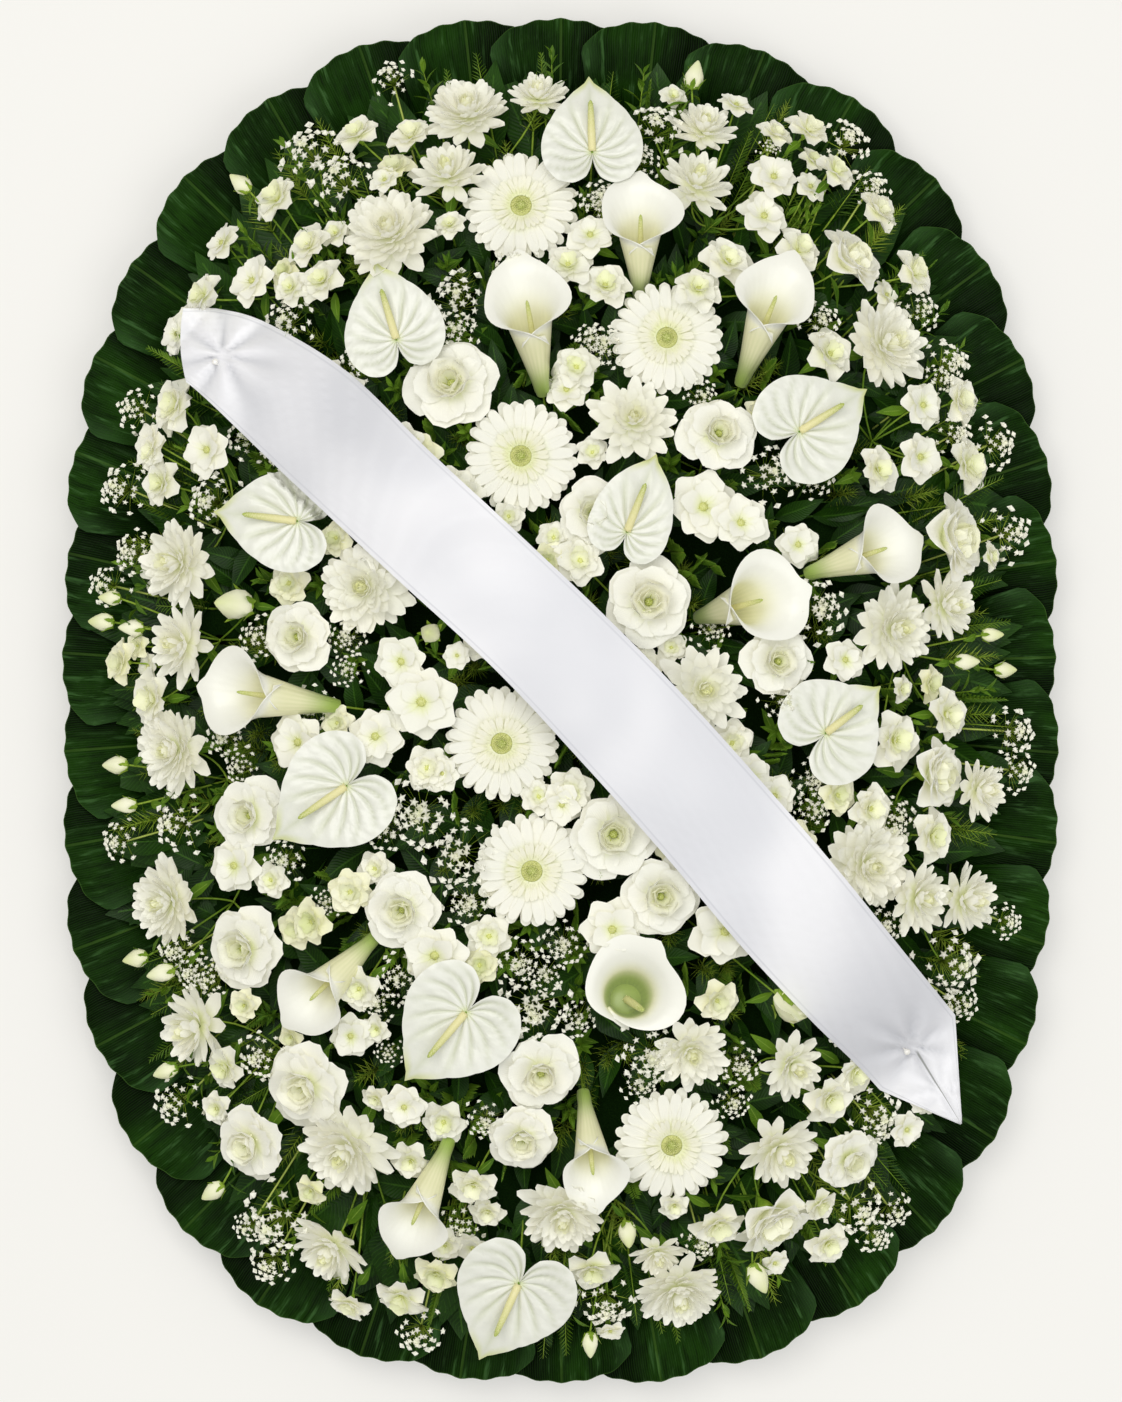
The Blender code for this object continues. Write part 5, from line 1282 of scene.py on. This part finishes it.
for k, (x, y, heading, steep, length, mouth) in enumerate(callas):
    node = f"calla_{k + 1}"
    small = shrink * length
    a, e = radians(heading), radians(steep)
    along = Vector((cos(a) * cos(e), sin(a) * cos(e), sin(e)))
    flank = Vector((-sin(a), cos(a), 0))
    under = along.cross(flank) * -1
    under = -under if under.z > 0 else under
    flank = along.cross(under)
    foot = Vector((x, y, domeHeight(x, y) + 4 - small * sin(e) * 0.75))
    foot += up * foundLift(node, foot + along * small * 0.74)
    long, wide = length * calla["shrink"], mouth * calla["shrink"]
    ground = foamFoot(foot.x - along.x * 40, foot.y - along.y * 40)
    middle = foot - along * 30
    middle.z = max(middle.z, oval["foamTop"] + 8)
    stem = bent(foot + along * 6, middle, ground + up * 2, (calla["stem"] + 0.8, calla["stem"]), 9)
    funnel = callaShape(long, wide, k)
    pieces = [stalkPart([rooted(stem, ground, calla["stem"])], sides=10)]
    tongue, thick = along, 3.4
    if steep > calla["upright"]:  # one looks into this throat
        funnel["tones"][:] = 1.0
        tongue, thick = (along + Vector((0.3, -0.42, 0))).normalized(), 4.4
        plug = lathe(((-2.0, wide * 0.15), (0.0, wide * 0.17), (3.0, wide * 0.1)), 20, "calla", tone=1.0)
        plug["uvs"][:] = 0.3
        pieces.append(placed(plug, (under, flank, along), foot + along * long * 0.31))
    spadix = spadixPart(long * 0.42, thick, k + 20, calla["bumps"])
    pieces += [placed(funnel, (under, flank, along), foot),
               placed(spadix, (*sideFrame(tongue), tongue), foot + along * long * 0.34)]
    toPiece(f"{node}_bloom", underRibbon(joined(pieces)), [node])
    for share in (0.12, 0.24, 0.36, 0.48):
        cover(foot + along * long * share, wide * 0.2, wide * 0.2)
    bowl = foot + along * long * 0.8
    bowl.z = foot.z + along.z * long * calla["tube"] - wide * calla["tubeWidth"]
    cover(bowl, wide * 0.5, 0.0)
print("anthuriums and callas made")


# The broad leaves of the rim
rim = {"count": 38, "garlands": 6, "rootHalf": 50.0, "lap": 7.0, "rise": 12.0, "pleat": 1.7, "pleats": 5.5,
       "scallop": 0.9, "thick": 1.0, "level": 36.8, "rows": 14, "columns": 32, "seed": 7}
rimStations = evenStations(oval["foam"], rim["count"])


def stationAt(place):
    low = floor(place)
    share = place - low
    first, firstOut = rimStations[low % rim["count"]]
    second, secondOut = rimStations[(low + 1) % rim["count"]]
    return first.lerp(second, share), firstOut.lerp(secondOut, share)


def rimLeaf(place, reachShare, yaw):
    root, out = stationAt(place)
    edge = root / ovalShare(root.x, root.y, oval["rim"]) - root
    reach = edge.length * reachShare - 6
    way = (Matrix.Rotation(radians(yaw), 2) @ edge.normalized().lerp(out, 0.5)).normalized()
    across = Vector((-way.y, way.x))
    start = root + out * 6
    rows, columns = rim["rows"], rim["columns"]
    grid = np.zeros((rows + 1, columns + 1, 3))
    for r in range(rows + 1):
        share = r / rows
        half = float(np.interp(share, (0, 0.25, 0.5, 0.85, 1.0), (rim["rootHalf"], 58, 65, 71, 70)))
        for c in range(columns + 1):
            s = 1 - 2 * c / columns
            wave = cos(s * pi * rim["pleats"])
            along = reach * share * (1 - 0.2 * s * s * share) + rim["scallop"] * wave * share**6
            along -= reach * 0.1 * share * abs(s) ** 8
            height = rim["level"] + rim["pleat"] * wave * share * (1 - 0.4 * share)
            lap = s * half * sin(radians(rim["lap"]))
            height += lap + rim["rise"] * sin(pi * 0.62 * share)
            height += 2.2 * sin(share * 5 + place * 2.1) * abs(s) + 1.5 * exp(-((s / 0.05) ** 2))
            flat = start + way * along + across * s * half
            grid[r, c] = (flat.x, flat.y, height)
    return shell(grid, rim["thick"], "rim")


leafDraws = random.Random(rim["seed"])
for number in range(rim["garlands"]):
    first = round(number * rim["count"] / rim["garlands"])
    last = round((number + 1) * rim["count"] / rim["garlands"])
    parts = []
    for place in range(first, last):
        reachShare = leafDraws.uniform(0.95, 1.0)
        parts.append(rimLeaf(place + 0.5, reachShare, leafDraws.uniform(-3, 3)))
    spine = []
    for place in np.linspace(first + 0.04, last - 0.04, 24):
        point, out = stationAt(float(place))
        at = point + out * 4.8
        spine.append((Vector((at.x, at.y, rim["level"])), 3.4))
    parts.append(stalkPart([spine], sides=8))
    toPiece(f"rim_leaves_{number + 1}", joined(parts), [f"leaf_garland_{number + 1}"])
print("rim leaves made")


# The leaves, ferns and tiny florets between the blooms
filler = {"seed": 23, "skirt": 46, "overRim": 50, "dark": 940, "fern": 560, "floret": 114, "breath": 60,
          "floretTip": 52, "breathTip": 34,
          "extraBreath": ((-250, 552), (-215, 512), (95, 577), (210, 552), (310, 512), (30, 357), (80, 537),
                          (-100, 477), (5, 322), (140, 302), (210, 232), (20, 162), (0, 142), (150, 72),
                          (260, 102), (-210, 32), (-140, -98), (-110, -148), (-90, -198), (-180, -298),
                          (-40, -258), (-20, -298), (90, -338), (80, -378), (-80, -508), (-310, -523),
                          (-320, -128), (-230, -198), (-230, -258), (-170, -348), (330, -128), (390, -268),
                          (250, -78), (220, -118), (140, -538), (-140, -628), (40, -588),
                          (320, -428), (340, 352), (380, 322))}
chance = np.random.default_rng(filler["seed"])
darkLeaf = shell(petalGrid({"rows": 6, "columns": 2, "halves": (0.03, 0.13, 0.19, 0.2, 0.15, 0.08, 0.005),
                            "cup": 0.3, "bend": -30}), 0.012, "dark")
leafletPoints = [(0, 0, 0), (0.5, 0.15, 0.03), (0.45, 0, -0.012), (0.5, -0.15, 0.03), (1.0, 0, -0.05),
                 (0.45, 0, 0.012)]
leafletFaces = [(0, 3, 5), (5, 3, 4), (0, 5, 1), (5, 4, 1), (0, 2, 3), (2, 4, 3), (0, 1, 2), (2, 1, 4)]
leafletPlan = np.array([(0.5, 0), (0.0, 0.5), (0.5, 0.45), (1.0, 0.5), (0.5, 1.0), (0.5, 0.45)])
leaflet = part(leafletPoints, leafletFaces, leafletPlan[np.array(leafletFaces)], "fern")
needle = {**breathStalk, "points": breathStalk["points"] * np.array([1.05, 2.2, 2.2])}


def sprig(leaves, *rings):  # leaves round a thin stalk of one unit
    return joined([leaves, lathe(rings, 4, "stem")])


frond = sprig(whorl(leaflet, "fern", 30, 5, (28, 48), (0.34, 0.1), 0.0, pi, rise=0.92, loose=0.1),
              (0, 0.012), (0.5, 0.009), (0.98, 0.003))
wisp = sprig(whorl(needle, "wisp", 52, 9, (30, 50), (0.4, 0.14), 0.0, golden, rise=0.86, loose=0.3),
             (0, 0.014), (0.5, 0.009), (0.98, 0.003))
leafy = sprig(whorl("leaf", "fern", 11, 3, (30, 66), (0.42, 0.24), 0.0, golden, rise=0.8, loose=0.2),
              (0, 0.014), (0.5, 0.01), (0.9, 0.004))
sprigs = (frond, leafy, wisp, frond)
discs = [(h.heart.x, h.heart.y, h.radius * (1.0 if h.kind != "bud" else 1.5)) for h in allHeads]
for x, y, a, length, width in anthuriums:
    a = radians(a)
    discs.append((x + 0.35 * length * cos(a), y + 0.35 * length * sin(a), width * 0.5))
for x, y, a, steep, length, mouth in callas:
    a, flat = radians(a), cos(radians(steep))
    discs.append((x + 0.6 * length * cos(a) * flat, y + 0.6 * length * sin(a) * flat, mouth * 0.48))
discs = np.array(discs)


def clearance(x, y):  # how far a place is from the nearest bloom's edge
    return float((np.hypot(discs[:, 0] - x, discs[:, 1] - y) - discs[:, 2]).min())


def scattered(count, step, lowest, reach=1.04):  # places in the gaps between the blooms, in a mixed order
    found = []
    half = oval["bloom"]
    for x in np.arange(-half[0] * reach, half[0] * reach, step):
        for y in np.arange(-half[1] * reach, half[1] * reach, step):
            px, py = x + chance.uniform(-0.45, 0.45) * step, y + chance.uniform(-0.45, 0.45) * step
            if ovalShare(px, py) < reach and clearance(px, py) > lowest:
                found.append((px, py))
    chance.shuffle(found)
    return found[:count]


def grown(shape, root, tip, spin):  # a shape that stands along +Z, set from its root to its tip
    way = Vector(tip) - Vector(root)
    first, second = sideFrame(way, spin)
    return placed(shape, (first, second, way.normalized()), root, way.length)


def laidLeaf(shape, root, tip, roll):  # a leaf along +X that faces up
    way = Vector(tip) - Vector(root)
    flank = up.cross(way).normalized()
    face = way.cross(flank).normalized()
    flank = flank * cos(roll) + face * sin(roll)
    return placed(shape, (way.normalized(), flank, way.cross(flank).normalized()), root, way.length)


skirt = []
for point, out in evenStations((oval["foam"][0] - 12, oval["foam"][1] - 12), filler["skirt"]):
    for layer in range(2):
        base = point - out * (4 + 24 * layer)
        side = Vector((-out.y, out.x))
        far = point + out * (86 - 24 * layer + chance.uniform(-10, 12)) + side * chance.uniform(-22, 22)
        root = Vector((base.x, base.y, 70 + 6 * layer))
        tipAt = Vector((far.x, far.y, 56 + 22 * layer + chance.uniform(-4, 8)))
        skirt.append(laidLeaf(darkLeaf, root, tipAt, chance.uniform(-0.4, 0.4)))
        heights = skirt[-1]["points"][:, 2]
        low = heights < filler["overRim"]
        heights[low] = filler["overRim"] + 0.1 * (heights[low] - filler["overRim"])
for point, out in evenStations(oval["foam"], filler["skirt"]):
    side = Vector((-out.y, out.x))
    base = point - out * 6
    far = point + out * 34 + side * chance.uniform(-26, 26)
    skirt.append(laidLeaf(darkLeaf, Vector((base.x, base.y, 72)), Vector((far.x, far.y, 47)), 0.2))
toPiece("skirt_leaves", joined(skirt), ())

quarters = {(-1, 1): "upper_left", (1, 1): "upper_right", (-1, -1): "lower_left", (1, -1): "lower_right"}
greens = {name: [] for name in quarters.values()}


def quarterOf(x, y):
    return quarters[(1 if x >= 0 else -1, 1 if y >= 0 else -1)]


for x, y in scattered(filler["dark"], 25, -60, 0.98):
    out = outwards(x, y)
    turn = atan2(out.y, out.x) + chance.uniform(-1.3, 1.3)
    reach = chance.uniform(66, 96)
    root = rootAt(x - cos(turn) * reach * 0.5, y - sin(turn) * reach * 0.5)
    height = domeHeight(x, y) - chance.uniform(30, 52)
    tipAt = Vector((x + cos(turn) * reach * 0.45, y + sin(turn) * reach * 0.45, max(86, height)))
    lifted = root.lerp(tipAt, 0.3)
    lifted.z = max(lifted.z, tipAt.z - 26)
    stalk = bent(root, root.lerp(lifted, 0.6), lifted, (1.4, 1.0), 3)
    greens[quarterOf(x, y)] += [laidLeaf(darkLeaf, lifted, tipAt, chance.uniform(-0.7, 0.7)),
                                stalkPart([stalk], "dark", 4)]
for k, (x, y) in enumerate(scattered(filler["fern"], 15, 0.0)):
    out = outwards(x, y)
    lean = 34 * min(1.0, ovalShare(x, y)) ** 2
    root = rootAt(x - out.x * (lean + 14) + chance.uniform(-14, 14),
                  y - out.y * (lean + 14) + chance.uniform(-14, 14))
    tipAt = Vector((x, y, domeHeight(x, y) + chance.uniform(-24, 6)))
    joint = root.lerp(tipAt, 1 - min(0.85, 62 / (tipAt - root).length))
    stalk = bent(root, root.lerp(joint, 0.5), joint, (1.2, 0.8), 3)
    greens[quarterOf(x, y)] += [grown(sprigs[k % len(sprigs)], joint, tipAt, chance.uniform(0, 6.28)),
                                stalkPart([stalk], "stem", 4)]

clouds = {name: [] for name in quarters.values()}


def addCloud(place, shape, axis, heart, radius, spin, stalk):  # a small bloom and its stalk
    bloom = underBlooms(placed(shape, (*sideFrame(axis, spin), axis), heart, radius))
    clouds[quarterOf(*place)] += [bloom, stalk]


florets = []
for k, (x, y) in enumerate(scattered(filler["floret"], 25, 6.0, 1.0)):
    axis = tipped(x, y, filler["floretTip"], chance.uniform(-0.25, 0.25))
    radius = min(24.0, 10 + clearance(x, y) * 0.8)
    heart = Vector((x, y, domeHeight(x, y) - chance.uniform(6, 22)))
    path = risen(heart, axis, 34, heart - axis * radius * 0.3, (1.5, 1.2), 5)
    kind = ("floret", "green_floret", "floret", "daisy")[k % 4]
    addCloud((x, y), heads[kind][k % 2], axis, heart, radius, k * 1.7, stalkPart([path], "stem", 5))
    florets.append((heart, radius, axis))
for heart, radius, axis in florets:
    cover(heart, radius * 0.9, radius * 0.3, axis)
discs = np.vstack([discs, [(heart.x, heart.y, radius) for heart, radius, _ in florets]])
for k, (x, y) in enumerate(list(filler["extraBreath"]) + scattered(filler["breath"], 30, 5.0)):
    axis = tipped(x, y, filler["breathTip"])
    radius = min(chance.uniform(20, 30), clearance(x, y) + 19)
    if radius < 13:
        continue
    height = domeHeight(x, y) - radius * 0.7 + chance.uniform(-8, 6)
    heart = Vector((x, y, height)) - axis * Vector((1, 1, 0)) * 8
    path = risen(heart, axis, 30, heart, (1.2, 0.8), 4)
    addCloud((x, y), heads["gypsophila"][k % 2], axis, heart, radius, k * 1.3, stalkPart([path], "wisp", 4))
for name, parts in greens.items():
    toPiece(f"foliage_{name}", underRibbon(underBlooms(joined(parts)), 6.0), ())
for name, parts in clouds.items():
    toPiece(f"baby_breath_{name}", underRibbon(joined(parts), 5.0), ())
print("leaves, ferns and tiny florets made")


# The finishes of the solids that stay
kept = {("tray",): plainFinish("darkTray", "#16331b", "#20452a", 0.42, 120.0, 0.0003),
        # the foam's near-black colour is painted shade of the deep gaps between the blooms
        ("foam",): plainFinish("floralFoam", "#0a1d04", "#142b08", 0.9, 700.0, 0.0012, 0.05),
        ("ribbon_pin_upper", "ribbon_pin_lower"): plainFinish("pearlPin", "#f1eee6", "#fdfcf8", 0.18, 60.0,
                                                              0.0001)}
for nodes, finish in kept.items():
    for node in nodes:
        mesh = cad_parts[node].data
        mesh.materials.clear()
        mesh.materials.append(finish)


# The floor, the light and the camera
# In metres: how much of the world the picture's height shows, at which height, and where the camera is
view = {"height": 1.402, "plane": 0.1, "far": 8.0, "centre": (0.001, 0.001), "floor": 6.0, "sensor": 36.0}


def makeFloor():
    mesh = bpy.data.meshes.new("studio_floor")
    size = view["floor"]
    corners = [(-size, -size, 0), (size, -size, 0), (size, size, 0), (-size, size, 0)]
    mesh.from_pydata(corners, [], [(0, 1, 2, 3)])
    f = Finish("paleFloor", Roughness=0.9, Specular_IOR_Level=0.1, Emission_Strength=0.46,
               Emission_Color=(1.0, 0.99, 0.965, 1.0))  # a lit table: it softens the shadows on it
    f.set("Base Color", f.blend(f.noise(3.0), "#b4b3ae", "#b6b5b0"))
    mesh.materials.append(f.material)
    linked("studio_floor", mesh)


def makeLight(name, place, size, power, colour):
    lamp = bpy.data.lights.new(name, "AREA")
    lamp.size = size
    lamp.energy = power
    lamp.color = colour
    thing = linked(name, lamp)
    thing.location = place
    thing.rotation_euler = (-Vector(place)).to_track_quat("-Z", "Y").to_euler()


makeFloor()
makeLight("key_light", (-0.9, 1.2, 4.6), 3.2, 108, (1.0, 0.985, 0.96))
makeLight("fill_light", (1.8, -1.3, 4.0), 3.4, 52, (0.96, 0.98, 1.0))
world = bpy.data.worlds.new("soft_studio")
world.use_nodes = True
glow = world.node_tree.nodes["Background"].inputs
glow["Color"].default_value = (1.0, 0.99, 0.97, 1.0)
glow["Strength"].default_value = 0.47
bpy.context.scene.world = world
bpy.context.scene.view_settings.view_transform = "Standard"

lens = bpy.data.cameras.new("overhead")
lens.sensor_fit = "VERTICAL"
lens.sensor_height = view["sensor"]
lens.lens = view["sensor"] * (view["far"] - view["plane"]) / view["height"]
lens.clip_end = 40.0
camera = linked("overhead", lens)
camera.location = (*view["centre"], view["far"])
bpy.context.scene.camera = camera

print("triangles:", sum(pieceFaces.values()), "in", len(pieceFaces), "pieces")
